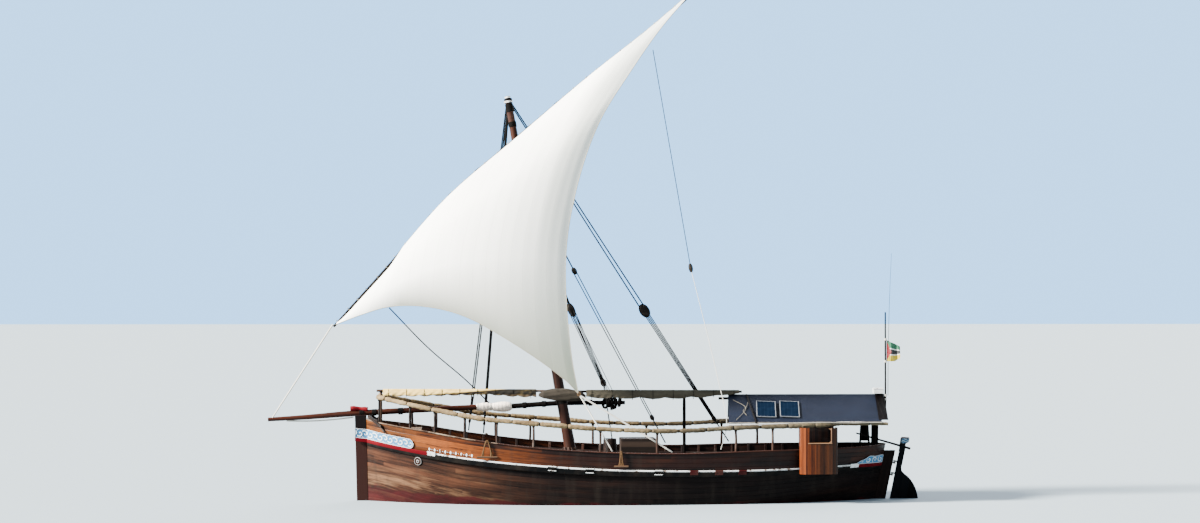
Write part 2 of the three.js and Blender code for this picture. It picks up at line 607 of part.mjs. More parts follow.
// Bundled cover beside the mast. Columns: x, half height.
const COVER = [[3120, 60], [2950, 190], [2500, 280], [2000, 290], [1600, 230], [1420, 90]];
const coverRings = COVER.map(([x, size]) => ring(vec(x, AWNING_Y + 330, 3760 + (x - 2250) * 0.05),
  vec(0, 0.75, 0), vec(0, 0, 1), size, 10));
add('mast_cover', loft(coverRings), 'greyCanvas');

// Shelter aft: ridge pole, rafters and stern posts under a pitched canvas roof
const RIDGE = { fore: -3450, aft: -9600, z: 3660, radius: 50 };
const ROOF = { fore: -3800, aft: -9280, half: 2330, drop: 910, thick: 14, skew: 0.094 };
const RAFTERS = [-4000, -6500, -8800];
const STERN_POST_FOOT = { y: 1040, z: 2012 };
const STERN_POST_HEAD_Y = 1210;
const roofZ = (y) => RIDGE.z + RIDGE.radius + 70 - ROOF.drop * Math.abs(y) / ROOF.half;
// A point of the roof's frame: the rafters and the roof's ends stand a little askew.
const askew = (x, y, z) => vec(x + ROOF.skew * y, y, z);
function shelterFrame() {
  const ridge = pole([vec(RIDGE.fore, 0, RIDGE.z), vec(RIDGE.aft, 0, RIDGE.z)], RIDGE.radius);
  const rafters = RAFTERS.flatMap((x) => [1, -1].map((side) => pole([vec(x, 0, RIDGE.z),
    askew(x, side * 2170, roofZ(2170) - 48)], 32, 6)));
  const posts = [1, -1].map((side) => pole([
    vec(RAFTERS[2], side * STERN_POST_FOOT.y, STERN_POST_FOOT.z),
    askew(RAFTERS[2], side * STERN_POST_HEAD_Y, roofZ(STERN_POST_HEAD_Y) - 60)], 40, 6));
  return joined([ridge, ...rafters, ...posts]);
}
add('shelter_frame', shelterFrame(), 'dark');

// A strip of the roof's shape between two x, at a height above the roof line.
function roofStrip(xs, half, rise, thick) {
  const across = [half, half / 2, 0, -half / 2, -half];
  const face = (x, lift) => across.map((y) => askew(x, y, roofZ(y) + lift));
  return loft(xs.map((x) => [...face(x, rise), ...face(x, rise + thick).reverse()]));
}
add('shelter_roof', roofStrip([ROOF.fore, -5200, -6600, -8000, ROOF.aft], ROOF.half, 0, ROOF.thick), 'roof');
add('roof_end_boards', roofStrip([-9180, -9520], 2150, ROOF.thick + GAP, 24), 'dark');

// Solar panels on the roof's port slope
const PANELS = { x: [-5035, -5880], width: 700, length: 1390, thick: 36, y: 1325 };
PANELS.x.forEach((x, i) => {
  const slope = Math.atan2(ROOF.drop, ROOF.half);
  const panel = new THREE.BoxGeometry(PANELS.width, PANELS.length, PANELS.thick)
    .rotateZ(-Math.atan(ROOF.skew)).rotateX(-slope);
  add(`solar_panel_${i + 1}`, panel.translate(x, PANELS.y, roofZ(PANELS.y) + ROOF.thick + 40), 'panel');
});

// Lamp box on the ridge, and the flagstaff lashed to the ridge pole's end
const boxFloor = roofZ(0) + ROOF.thick + 24 + 2 * GAP;
add('ridge_box', box([-9480, -150, boxFloor], [-9120, 150, boxFloor + 210]), 'trim');
add('flagstaff', spar([[-9560, 88, 3350, 34], [-9560, 88, 5200, 32], [-9570, 88, 6800, 26]], 8), 'dark');
// Columns: x, y, top, bottom.
const FLAG = [[-9602, 90, 5780, 5010], [-9760, 130, 5700, 5000], [-9930, 60, 5640, 5010],
  [-10100, 105, 5540, 5130]];
const flagRings = FLAG.map(([x, y, high, low]) => [vec(x, y, low), vec(x, y, high),
  vec(x, y + 8, high), vec(x, y + 8, low)]);
add('flag', loft(flagRings), 'sail');

// Latrine box hung outside the port quarter: an upright wall of staves with rounded corners,
// a floor, and a window in its outboard face.
const QUARTER_BOX = { low: 1060, high: 2700, wall: 32, floor: 40, sill: 2140 };
const BOX_CORNERS = [{ x: -6300, y: 2690, radius: 200 }, { x: -7290, y: 2620, radius: 170 }];
const BOX_WINDOW = { fore: -6390, aft: -7210 };
function boxPlan(inset) {
  const shape = new THREE.Shape();
  const [fore, aft] = BOX_CORNERS;
  shape.moveTo(fore.x + fore.radius - inset, 2330 + inset);
  for (const { x, y, radius } of BOX_CORNERS) {
    const [from, to] = x === fore.x ? [0, Math.PI / 2] : [Math.PI / 2, Math.PI];
    for (let i = 0; i <= 5; i++) {
      const angle = mix(from, to, i / 5);
      shape.lineTo(x + (radius - inset) * Math.cos(angle), y + (radius - inset) * Math.sin(angle));
    }
  }
  shape.lineTo(aft.x - aft.radius + inset, 1970 + inset);
  return shape;
}
function boxPrism(inset, low, high) {
  return new THREE.ExtrudeGeometry(boxPlan(inset), { depth: high - low, bevelEnabled: false })
    .translate(0, 0, low);
}
function quarterBox() {
  const { low, high, wall, floor, sill } = QUARTER_BOX;
  const walls = cut(boxPrism(0, low, high), boxPrism(wall, low + floor, high + 10));
  return cut(walls, box([BOX_WINDOW.aft, 2560, sill], [BOX_WINDOW.fore, 3000, high + 10]));
}
add('quarter_box', quarterBox(), 'planks');

// Standing rigging to starboard, each line from the mast to the rail
const WIRE = 16;
const STAYS = {
  shroud_fore_1: [[4250, -160, 14330], [5640, -2325, 2400]],
  shroud_fore_2: [[4215, -175, 14150], [5085, -2425, 2300]],
  backstay_1: [[3480, -190, 11460], [-1720, -2700, 1900]],
  backstay_2: [[4070, -150, 14330], [-4080, -2500, 1960]],
};
for (const [name, [head, tail]] of Object.entries(STAYS)) {
  add(name, pole([vec(...head), vec(...tail)], WIRE, 6), 'rope');
}

// Halyard tackle: a pendant, the upper block, its falls, the lower block and the strop.
// Columns: head, tail, radius, sides.
const TACKLE = [
  [[3400, -200, 10700], [1900, -1560, 7000], 38, 6],
  [[1960, -1500, 7130], [1800, -1650, 6740], 110, 8],
  [[1880, -1580, 6950], [620, -2480, 4150], 55, 6],
  [[700, -2420, 4330], [540, -2540, 3980], 110, 8],
  [[600, -2500, 4100], [270, -2700, 1990], 24, 6],
];
add('halyard_tackle', joined(TACKLE.map(([head, tail, radius, sides]) => (
  pole([vec(...head), vec(...tail)], radius, sides)))), 'rope');

// Deck fittings: hatch, locker and water barrel
add('hatch', deckBlock(4300, 6100, 800, 1980), 'deck');
add('deck_locker', deckBlock(-1130, 140, 650, 2230), 'planks');
const barrelProfile = [[0, 0], [235, 0], [265, 420], [235, 830], [0, 830]]
  .map(([r, z]) => new THREE.Vector2(r, z));
const barrel = new THREE.LatheGeometry(barrelProfile, 14).rotateX(Math.PI / 2);
add('water_barrel', barrel.translate(460, -900, deckTop(725) + 3 * GAP), 'spar');

export default group;
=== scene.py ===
import math
import random

import bmesh
import bpy
import numpy as np
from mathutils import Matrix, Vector


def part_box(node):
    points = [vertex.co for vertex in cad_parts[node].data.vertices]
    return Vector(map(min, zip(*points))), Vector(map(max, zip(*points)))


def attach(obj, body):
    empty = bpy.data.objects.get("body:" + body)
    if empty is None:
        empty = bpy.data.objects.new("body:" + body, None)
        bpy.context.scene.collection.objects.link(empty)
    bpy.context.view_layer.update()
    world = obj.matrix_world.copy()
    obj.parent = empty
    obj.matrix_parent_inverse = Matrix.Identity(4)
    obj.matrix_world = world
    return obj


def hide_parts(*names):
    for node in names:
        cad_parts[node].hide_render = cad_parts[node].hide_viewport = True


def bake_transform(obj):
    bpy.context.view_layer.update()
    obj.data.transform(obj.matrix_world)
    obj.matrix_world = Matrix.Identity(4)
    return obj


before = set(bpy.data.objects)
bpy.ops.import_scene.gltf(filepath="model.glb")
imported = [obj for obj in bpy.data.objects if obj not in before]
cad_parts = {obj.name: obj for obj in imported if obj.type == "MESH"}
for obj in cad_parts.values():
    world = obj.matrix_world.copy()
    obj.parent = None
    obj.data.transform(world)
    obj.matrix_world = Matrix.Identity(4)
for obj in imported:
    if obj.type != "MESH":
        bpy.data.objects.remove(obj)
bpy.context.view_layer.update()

scene = bpy.context.scene

# Where the picture is taken from
# A long lens stands 90 m off the port side, a little forward of amidships and 7 m above the
# waterline, and looks square at the boat. The lens holds 27.5 pixels to a metre.
LENS_PLACE = Vector((5.5, 90.0, 7.0))
LENS_TARGET = Vector((0.87, 0.0, 8.64))
LENS_LENGTH = 74.36
lens = bpy.data.cameras.new("long_lens")
lens.lens = LENS_LENGTH
lens.clip_end = 3000
camera = bpy.data.objects.new("long_lens", lens)
camera.location = LENS_PLACE
camera.rotation_euler = (LENS_TARGET - LENS_PLACE).to_track_quat("-Z", "Y").to_euler()
scene.collection.objects.link(camera)
scene.camera = camera


# Floor and light
# The floor lies at the waterline and is plain and pale. A strong, wide key light comes over the
# port bow and a weaker one fills the starboard side. The sky is one even, pale blue.
def add_node(tree, kind, inputs=None, **settings):
    made = tree.nodes.new(kind)
    for key, value in settings.items():
        setattr(made, key, value)
    for key, value in (inputs or {}).items():
        if isinstance(value, bpy.types.NodeSocket):
            tree.links.new(value, made.inputs[key])
        else:
            made.inputs[key].default_value = value
    return made


FLOOR_REACH = 900
floor_mesh = bpy.data.meshes.new("floor")
corners = [(-FLOOR_REACH, -FLOOR_REACH, 0), (FLOOR_REACH, -FLOOR_REACH, 0),
    (FLOOR_REACH, FLOOR_REACH, 0), (-FLOOR_REACH, FLOOR_REACH, 0)]
floor_mesh.from_pydata(corners, [], [(0, 1, 2, 3)])
floor = bpy.data.objects.new("floor", floor_mesh)
scene.collection.objects.link(floor)
floor_finish = bpy.data.materials.new("pale_floor")
floor_finish.use_nodes = True
floor_shader = floor_finish.node_tree.nodes["Principled BSDF"]
floor_shader.inputs["Base Color"].default_value = (0.21, 0.26, 0.29, 1)
floor_shader.inputs["Roughness"].default_value = 0.9
floor_mesh.materials.append(floor_finish)

SKY_SEEN, SKY_GIVEN = (0.84, 1.75, 3.0, 1), (0.88, 1.0, 1.15, 1)
sky = bpy.data.worlds.new("even_sky")
sky.use_nodes = True
seen = add_node(sky.node_tree, "ShaderNodeLightPath").outputs["Is Camera Ray"]
tint = add_node(sky.node_tree, "ShaderNodeMix", {0: seen, 6: SKY_GIVEN, 7: SKY_SEEN},
    data_type="RGBA")
sky.node_tree.links.new(tint.outputs[2], sky.node_tree.nodes["Background"].inputs["Color"])
scene.world = sky

for name, source, energy, spread, colour in (
        ("key_light", (0.85, 0.19, 0.48), 40.0, 10, (1.0, 0.965, 0.9)),
        ("fill_light", (-0.45, -0.8, 0.55), 4.5, 40, (0.92, 0.96, 1.0))):
    light = bpy.data.lights.new(name, "SUN")
    light.energy, light.angle, light.color = energy, math.radians(spread), colour
    lamp = bpy.data.objects.new(name, light)
    lamp.rotation_euler = Vector(source).to_track_quat("Z", "Y").to_euler()
    scene.collection.objects.link(lamp)


# Bottom planking
# The hull below the wale: 22 carvel planks a side of hardwood on sawn frames, running from
# the garboard at the keel to the wale. Weathered and oiled, with a red-painted bottom.
COLUMNS = ("x", "rail_y", "rail_z", "wale_y", "wale_z", "water_y", "bilge_y")
STATIONS = np.array([(-9.39, 0.16, 2.02, 0.14, 1.27, 0.1, 0.1),
    (-8.9, 1.01, 2.0, 0.8, 1.275, 0.48, 0.2), (-8.0, 1.58, 1.97, 1.43, 1.265, 1.04, 0.46),
    (-6.4, 2.15, 1.93, 2.08, 1.21, 1.76, 0.97), (-4.4, 2.56, 1.895, 2.54, 1.16, 2.33, 1.59),
    (-1.8, 2.78, 1.83, 2.8, 1.165, 2.68, 2.08), (0.8, 2.8, 1.88, 2.82, 1.22, 2.72, 2.18),
    (3.4, 2.7, 2.05, 2.7, 1.375, 2.55, 1.92), (5.6, 2.43, 2.33, 2.34, 1.585, 2.08, 1.32),
    (7.2, 2.0, 2.61, 1.8, 1.81, 1.43, 0.73), (8.3, 1.4, 2.78, 1.15, 1.99, 0.79, 0.33),
    (8.9, 0.85, 2.88, 0.65, 2.1, 0.38, 0.17), (9.29, 0.16, 2.96, 0.14, 2.17, 0.1, 0.1),])
GARBOARD_Y = 0.095
GARBOARD_Z = -1.25
BILGE_Z = -0.75
STERN_RAKE = 0.21
PLANK = 0.05
CAP = 0.04
HULL_COLUMNS = 150
BOTTOM_PLANKS = 22
SEAM_HALF = 0.007
SEAM_DEPTH = 0.007
BOARD_LENGTH = 5.2


def fair(column, x):
    xs, ys = STATIONS[:, 0], STATIONS[:, COLUMNS.index(column)]
    slopes = np.gradient(ys, xs)
    slopes[1:-1] = (ys[2:] - ys[:-2]) / (xs[2:] - xs[:-2])
    i = np.clip(np.searchsorted(xs, x, side="right") - 1, 0, len(xs) - 2)
    span = xs[i + 1] - xs[i]
    t = (x - xs[i]) / span
    return ((2 * t**3 - 3 * t**2 + 1) * ys[i] + (t**3 - 2 * t**2 + t) * span * slopes[i]
        + (3 * t**2 - 2 * t**3) * ys[i + 1] + (t**3 - t**2) * span * slopes[i + 1])


def stern_rabbet(z):
    return -9.13 - STERN_RAKE * z


def stem_rabbet(z):
    return 9.24 + 0.026 * np.maximum(z, 0) - 1.35 * (np.minimum(z, 0) / GARBOARD_Z) ** 2


def table_x(fraction):
    return STATIONS[0, 0] + (STATIONS[-1, 0] - STATIONS[0, 0]) * fraction


def place(fraction, y, z):
    x = stern_rabbet(z) + (stem_rabbet(z) - stern_rabbet(z)) * fraction
    return np.stack(np.broadcast_arrays(x, y, z), axis=-1)


def fraction_at(x, z):
    return (x - stern_rabbet(z)) / (stem_rabbet(z) - stern_rabbet(z))


# A cubic from p to q that leaves with slope a and arrives with slope b.
def cubic(p, q, a, b, t):
    return (2 * p - 2 * q + a + b) * t**3 + (3 * q - 3 * p - 2 * a - b) * t**2 + a * t + p


# How far along a line each of its points lies.
def run_of(points):
    return np.concatenate([[0], np.cumsum(np.linalg.norm(np.diff(points, axis=0), axis=1))])


# The section from garboard to wale as one smooth line of half-breadth and height.
def girth_line(fraction, shares):
    x = table_x(fraction)
    knots = np.array([(GARBOARD_Y, GARBOARD_Z), (fair("bilge_y", x), BILGE_Z),
        (fair("water_y", x), 0.0), (fair("wale_y", x), fair("wale_z", x))])
    fine = []
    for k in range(3):
        p0, p1, p2, p3 = (knots[min(max(k + step, 0), 3)] for step in (-1, 0, 1, 2))
        t = np.linspace(0, 1, 16, endpoint=k == 2)[:, None]
        fine.append(cubic(p1, p2, 0.5 * (p2 - p0), 0.5 * (p3 - p1), t))
    fine = np.concatenate(fine)
    run = run_of(fine)
    run /= run[-1]
    return np.stack([np.interp(shares, run, fine[:, 0]), np.interp(shares, run, fine[:, 1])], 1)


# Half-breadth of the planking's outside at a height, above or below the wale.
def outside(fraction, z):
    x = table_x(fraction)
    if z >= fair("wale_z", x):
        t = (z - fair("wale_z", x)) / (fair("rail_z", x) - fair("wale_z", x))
        return fair("wale_y", x) + t * (fair("rail_y", x) - fair("wale_y", x))
    line = girth_line(fraction, np.linspace(0, 1, 40))
    return np.interp(z, line[:, 1], line[:, 0])


# Faces over rows of points. u runs along the rows in metres and v across them, each the mean
# over the whole shape, so that grain follows a plank from end to end.
def loft(rings, closed=True, tone=None):
    rings = np.asarray(rings, float)
    n, m = rings.shape[:2]
    wrap = m if closed else m - 1
    i, j = np.meshgrid(np.arange(n - 1), np.arange(wrap), indexing="ij")
    i, j = i.ravel(), j.ravel()
    k = (j + 1) % m
    quads = np.stack([i * m + j, i * m + k, (i + 1) * m + k, (i + 1) * m + j], 1)
    along = np.linalg.norm(np.diff(rings, axis=0), axis=2).mean(1)
    around = np.linalg.norm(np.roll(rings, -1, axis=1) - rings, axis=2).mean(0)
    u = np.concatenate([[0], np.cumsum(along)])
    v = np.concatenate([[0], np.cumsum(around)])
    loops = np.stack([u[i], v[j], u[i], v[j + 1], u[i + 1], v[j + 1], u[i + 1], v[j]], 1)
    faces = [tuple(q) for q in quads.tolist()]
    uv = list(loops.reshape(-1, 4, 2))
    tones = [0.5 if tone is None else tone(a, b, u[a]) for a, b in zip(i.tolist(), j.tolist())]
    if closed:
        for row, order in ((0, range(m - 1, -1, -1)), (n - 1, range(m))):
            order = list(order)
            faces.append(tuple(row * m + c for c in order))
            spot = rings[row, order] - rings[row].mean(0)
            uv.append(np.stack([u[row] + spot[:, 2] * 0.1, spot[:, 1]], 1))
            tones.append(tones[0])
    verts = rings.reshape(-1, 3)
    if closed:
        a, b, c = verts[quads[:, 0]], verts[quads[:, 1]], verts[quads[:, 2]]
        d = verts[quads[:, 3]]
        middle = verts.mean(0)
        volume = np.einsum("ij,ij->", a - middle, np.cross(b - middle, c - middle))
        volume += np.einsum("ij,ij->", a - middle, np.cross(c - middle, d - middle))
        if volume < 0:
            faces = [face[::-1] for face in faces]
            uv = [corner[::-1] for corner in uv]
    return {"verts": verts, "faces": faces, "uv": uv, "tone": tones}


def combine(shapes):
    verts, faces, uv, tone, start = [], [], [], [], 0
    for shape in shapes:
        verts.append(shape["verts"])
        faces += [tuple(c + start for c in face) for face in shape["faces"]]
        uv += shape["uv"]
        tone += shape["tone"]
        start += len(shape["verts"])
    return {"verts": np.concatenate(verts), "faces": faces, "uv": uv, "tone": tone}


def other_side(shape):
    return {"verts": shape["verts"] * (1, -1, 1), "faces": [f[::-1] for f in shape["faces"]],
        "uv": [c[::-1] for c in shape["uv"]], "tone": shape["tone"]}


# One named piece from a shape: its mesh, the coordinates for its grain, a tone for each board,
# its finish, the body that it moves with and the solids that it stands for.
def make(name, shape, finish, replaced=(), body="boat", sharp=35):
    mesh = bpy.data.meshes.new(name)
    mesh.from_pydata(shape["verts"].tolist(), [], shape["faces"])
    layer = mesh.uv_layers.new(name="grain")
    layer.data.foreach_set("uv", np.concatenate(shape["uv"]).astype(np.float32).ravel())
    tones = mesh.attributes.new("tone", "FLOAT", "FACE")
    tones.data.foreach_set("value", np.array(shape["tone"], np.float32))
    mesh.polygons.foreach_set("use_smooth", [True] * len(mesh.polygons))
    mesh.set_sharp_from_angle(angle=math.radians(sharp))
    mesh.materials.append(finish)
    piece = bpy.data.objects.new(name, mesh)
    scene.collection.objects.link(piece)
    if body:
        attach(piece, body)
    if replaced:
        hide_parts(*replaced)
    return piece


# The same piece on both sides of the boat.
def both_sides(name, shape, finish, nodes=()):
    pair = []
    for hand, form in (("port", shape), ("starboard", other_side(shape))):
        replaced = [f"{node}_{hand}" for node in nodes]
        pair.append(make(f"{name}_{hand}", form, finish, replaced))
    return pair


# Rows across a run of planks: share of the run and depth, with a groove at each seam.
def seamed(planks, run):
    edge = SEAM_HALF / run
    rows = []
    for k in range(planks):
        rows += [(k / planks, SEAM_DEPTH), (k / planks + edge, 0), ((k + 0.5) / planks, -0.0015),
            ((k + 1) / planks - edge, 0)]
    return rows + [(1, SEAM_DEPTH)]


# A tone for each board of a planked surface, with butts staggered from plank to plank.
def board_tones(rows_a_plank, length, seed):
    def tone(_, j, u):
        plank = j // rows_a_plank
        shift = random.Random(seed * 1000 + plank).random()
        board = int((u / length) + shift)
        return random.Random(seed * 100000 + plank * 50 + board).random()
    return tone


def shader_group(name, inputs, outputs):
    group = bpy.data.node_groups.new(name, "ShaderNodeTree")
    kinds = {"colour": "NodeSocketColor", "number": "NodeSocketFloat", "vector": "NodeSocketVector"}
    for label, kind, value in inputs:
        socket = group.interface.new_socket(name=label, in_out="INPUT", socket_type=kinds[kind])
        if kind == "colour":
            socket.default_value = (*value, 1)
        elif kind == "number":
            socket.default_value = value
    for label, kind in outputs:
        group.interface.new_socket(name=label, in_out="OUTPUT", socket_type=kinds[kind])
    made = group.nodes.new("NodeGroupInput"), group.nodes.new("NodeGroupOutput")
    return group, made[0].outputs, made[1].inputs


def calc(tree, operation, a, b=0.0, c=0.0):
    return add_node(tree, "ShaderNodeMath", {0: a, 1: b, 2: c}, operation=operation).outputs[0]


def blend_colours(tree, share, a, b, mode="MIX"):
    made = add_node(tree, "ShaderNodeMix", {0: share, 6: a, 7: b}, data_type="RGBA",
        blend_type=mode)
    return made.outputs[2]


def times(tree, a, b):
    return calc(tree, "MULTIPLY", a, b)


def plus(tree, a, b):
    return calc(tree, "ADD", a, b)


def clamped(tree, value):
    return add_node(tree, "ShaderNodeClamp", {0: value}).outputs[0]


def parts_of(tree, vector):
    return add_node(tree, "ShaderNodeSeparateXYZ", {0: vector}).outputs


def random_of(tree, value):
    return add_node(tree, "ShaderNodeTexWhiteNoise", {"W": value}, noise_dimensions="1D").outputs[0]


def stretch(tree, vector, scale):
    return add_node(tree, "ShaderNodeMapping", {"Vector": vector, "Scale": scale}).outputs[0]


def noise(tree, vector, scale, detail, rough, w):
    made = add_node(tree, "ShaderNodeTexNoise", {"Vector": vector, "W": w, "Scale": scale,
        "Detail": detail, "Roughness": rough}, noise_dimensions="4D")
    return made.outputs[0]


def ramp(tree, value, low, high, low_out=0.0, high_out=1.0):
    made = add_node(tree, "ShaderNodeMapRange", {0: value, 1: low, 2: high, 3: low_out,
        4: high_out})
    return made.outputs[0]


# Grain of sawn timber: long streaks and fine fibres along u, each board with its own tone.
timber, given, result = shader_group("sawn_grain", [("Vector", "vector", None),
    ("Tone", "number", 0.5), ("Light", "colour", (0.4, 0.2, 0.1)),
    ("Dark", "colour", (0.1, 0.05, 0.02)), ("Spread", "number", 0.5), ("Gloss", "number", 0.5)],
    [("Color", "colour"), ("Roughness", "number"), ("Height", "number")])
own = times(timber, given["Tone"], 57.0)
streaks = noise(timber, stretch(timber, given["Vector"], (0.7, 16, 1)), 1.0, 5, 0.6, own)
fibres = noise(timber, stretch(timber, given["Vector"], (3, 120, 1)), 1.0, 3, 0.7, own)
patches = noise(timber, stretch(timber, given["Vector"], (0.5, 1.4, 1)), 1.0, 3, 0.5, 4.0)
figure = plus(timber, times(timber, streaks, 0.6), times(timber, fibres, 0.4))
figure = calc(timber, "MULTIPLY_ADD", calc(timber, "SUBTRACT", patches, 0.5), 0.5, figure)
board = times(timber, calc(timber, "SUBTRACT", given["Tone"], 0.5), given["Spread"])
figure = plus(timber, figure, board)
share = ramp(timber, figure, 0.3, 0.74)
timber.links.new(blend_colours(timber, share, given["Dark"], given["Light"]), result["Color"])
dull = ramp(timber, fibres, 0.3, 0.7, 0.12, -0.06)
timber.links.new(plus(timber, given["Gloss"], dull), result["Roughness"])
timber.links.new(plus(timber, times(timber, fibres, 0.6), times(timber, streaks, 0.4)),
    result["Height"])

# Weather on a boat's side: dark runs down from the rail, and a bleached bloom of salt.
weather, given, result = shader_group("weather", [("Color", "colour", (0.3, 0.2, 0.1)),
    ("Place", "vector", None), ("Runs", "number", 0.3), ("Bloom", "number", 0.2),
    ("Salt", "colour", (0.55, 0.48, 0.4))], [("Color", "colour")])
runs = noise(weather, stretch(weather, given["Place"], (3.2, 3.2, 0.35)), 1.0, 5, 0.6, 2.0)
cover = times(weather, ramp(weather, runs, 0.5, 0.72), given["Runs"])
soiled = blend_colours(weather, cover, given["Color"], (0.012, 0.009, 0.007, 1))
bloom = noise(weather, stretch(weather, given["Place"], (0.6, 0.6, 2.6)), 1.0, 6, 0.65, 9.0)
cover = times(weather, ramp(weather, bloom, 0.52, 0.78), given["Bloom"])
weather.links.new(blend_colours(weather, cover, soiled, given["Salt"]), result["Color"])


# Long dark streaks and stains that old planking gathers along its grain.
streaky, given, result = shader_group("plank_streaks",
    [("Color", "colour", (0.3, 0.2, 0.1)), ("Vector", "vector", None), ("Amount", "number", 0.5),
    ("Stain", "colour", (0.01, 0.004, 0.003))], [("Color", "colour")])
marks = noise(streaky, stretch(streaky, given["Vector"], (0.55, 11, 1)), 1.0, 6, 0.62, 11.0)
breaks = noise(streaky, stretch(streaky, given["Vector"], (1.3, 1.0, 1)), 1.0, 4, 0.6, 15.0)
cover = times(streaky, ramp(streaky, marks, 0.46, 0.62), ramp(streaky, breaks, 0.34, 0.54))
cover = times(streaky, cover, given["Amount"])
streaky.links.new(blend_colours(streaky, cover, given["Color"], given["Stain"]), result["Color"])


def open_finish(name):
    made = bpy.data.materials.new(name)
    made.use_nodes = True
    return made, made.node_tree, made.node_tree.nodes["Principled BSDF"]


# What a finish varies by: its piece's own coordinates, each board's tone and the place on the boat.
def grain_of(tree):
    return add_node(tree, "ShaderNodeUVMap", uv_map="grain").outputs[0]


def tone_of(tree, name="tone"):
    return add_node(tree, "ShaderNodeAttribute", attribute_name=name).outputs["Fac"]


def spot_of(tree):
    return add_node(tree, "ShaderNodeTexCoord").outputs["Object"]


# Gives a shader its colour, roughness and shine, its relief (height, strength and distance)
# and its coat of varnish (weight and roughness).
def dress(tree, shader, colour, rough, shine=0.5, relief=None, coat=None):
    tree.links.new(colour, shader.inputs["Base Color"])
    if isinstance(rough, float):
        shader.inputs["Roughness"].default_value = rough
    else:
        tree.links.new(rough, shader.inputs["Roughness"])
    shader.inputs["Specular IOR Level"].default_value = shine
    if coat:
        shader.inputs["Coat Weight"].default_value = coat[0]
        shader.inputs["Coat Roughness"].default_value = coat[1]
    if relief:
        named = dict(zip(("Height", "Strength", "Distance"), relief))
        bump = add_node(tree, "ShaderNodeBump", named)
        tree.links.new(bump.outputs[0], shader.inputs["Normal"])


def use_group(tree, group, inputs):
    made = add_node(tree, "ShaderNodeGroup", node_tree=group)
    for key, value in inputs.items():
        if isinstance(value, bpy.types.NodeSocket):
            tree.links.new(value, made.inputs[key])
        else:
            made.inputs[key].default_value = (*value, 1) if isinstance(value, tuple) else value
    return made.outputs


def board_grain(tree, grain, tone, light, dark, spread, gloss):
    return use_group(tree, timber, {"Vector": grain, "Tone": tone, "Light": light, "Dark": dark,
        "Spread": spread, "Gloss": gloss})


# A timber finish: grain by the piece's own coordinates, weather by its place on the boat.
def timber_finish(name, light, dark, gloss=0.5, spread=0.5, runs=0.25, bloom=0.1, coat=0.0,
        depth=0.004, shine=0.2):
    made, tree, shader = open_finish(name)
    grain, tone, spot = grain_of(tree), tone_of(tree), spot_of(tree)
    wood = board_grain(tree, grain, tone, light, dark, spread, gloss)
    worn = use_group(tree, weather, {"Color": wood["Color"], "Place": spot, "Runs": runs,
        "Bloom": bloom})
    dress(tree, shader, worn["Color"], wood["Roughness"], shine, (wood["Height"], 0.5, depth),
        (coat, 0.25))
    return made


# Tints a finish more and more from one place to another along an axis of the boat.
def graded(finish, axis, start, end, tint):
    tree, shader = finish.node_tree, finish.node_tree.nodes["Principled BSDF"]
    shade = shader.inputs["Base Color"].links[0].from_socket
    where = parts_of(tree, spot_of(tree))[axis]
    tinted = blend_colours(tree, ramp(tree, where, start, end), shade, (*tint, 1), "MULTIPLY")
    tree.links.new(tinted, shader.inputs["Base Color"])


# The bottom's finish: bleached tan planks towards the bow and black-brown aft, the darkening aft
# partly the planks' own colour and partly painted shade, with red paint below.
bottom_finish, tree, shader = open_finish("bottom_timber")
grain, tone, spot = grain_of(tree), tone_of(tree), spot_of(tree)
x_along, _, z_up = parts_of(tree, spot)
# Dark planks aft and tan ones at the bow, blended along the boat: the darkening aft is partly their own
# colour and partly painted shade.
aft = board_grain(tree, grain, tone, (0.0065, 0.0035, 0.003), (0.0008, 0.0006, 0.0007), 0.22, 0.55)
bow = board_grain(tree, grain, tone, (0.07, 0.026, 0.0125), (0.0036, 0.0017, 0.0014), 0.3, 0.6)
forward = ramp(tree, x_along, 2.9, 8.2)
uneven = noise(tree, stretch(tree, grain, (0.22, 1.3, 1)), 1.0, 4, 0.6, 3.0)
forward = clamped(tree, plus(tree, forward, ramp(tree, uneven, 0.3, 0.7, -0.22, 0.22)))
planks = blend_colours(tree, forward, aft["Color"], bow["Color"])
low_bow = times(tree, ramp(tree, x_along, 4.0, 7.0), ramp(tree, z_up, 1.35, 0.55))
bleach = noise(tree, stretch(tree, grain, (0.35, 3.4, 1)), 1.0, 5, 0.62, tone)
bleach = times(tree, ramp(tree, bleach, 0.47, 0.62), low_bow)
planks = blend_colours(tree, bleach, planks, (0.14, 0.074, 0.038, 1))
planks = use_group(tree, streaky, {"Color": planks, "Vector": grain, "Amount": 0.75,
    "Stain": (0.004, 0.0022, 0.002)})["Color"]
worn = use_group(tree, weather, {"Color": planks, "Place": spot, "Runs": 0.6, "Bloom": 0.05,
    "Salt": (0.05, 0.036, 0.025)})
ragged = noise(tree, stretch(tree, spot, (1.2, 1.2, 3)), 1.0, 5, 0.6, 1.0)
line = plus(tree, ramp(tree, x_along, 3.0, 9.2, 0.04, 0.56),
    ramp(tree, ragged, 0.3, 0.7, -0.1, 0.1))
painted = ramp(tree, calc(tree, "SUBTRACT", line, z_up), -0.02, 0.05)
red = blend_colours(tree, ramp(tree, ragged, 0.35, 0.7), (0.011, 0.0018, 0.0021, 1),
    (0.03, 0.0038, 0.0044, 1))
shade = blend_colours(tree, times(tree, painted, 0.9), worn["Color"], red)
dress(tree, shader, shade, aft["Roughness"], 0.05, (aft["Height"], 0.6, 0.005))

fractions = 0.5 - 0.5 * np.cos(np.linspace(0, math.pi, HULL_COLUMNS))
fractions = 0.55 * fractions + 0.45 * np.linspace(0, 1, HULL_COLUMNS)
girth_rows = seamed(BOTTOM_PLANKS, 4.0)


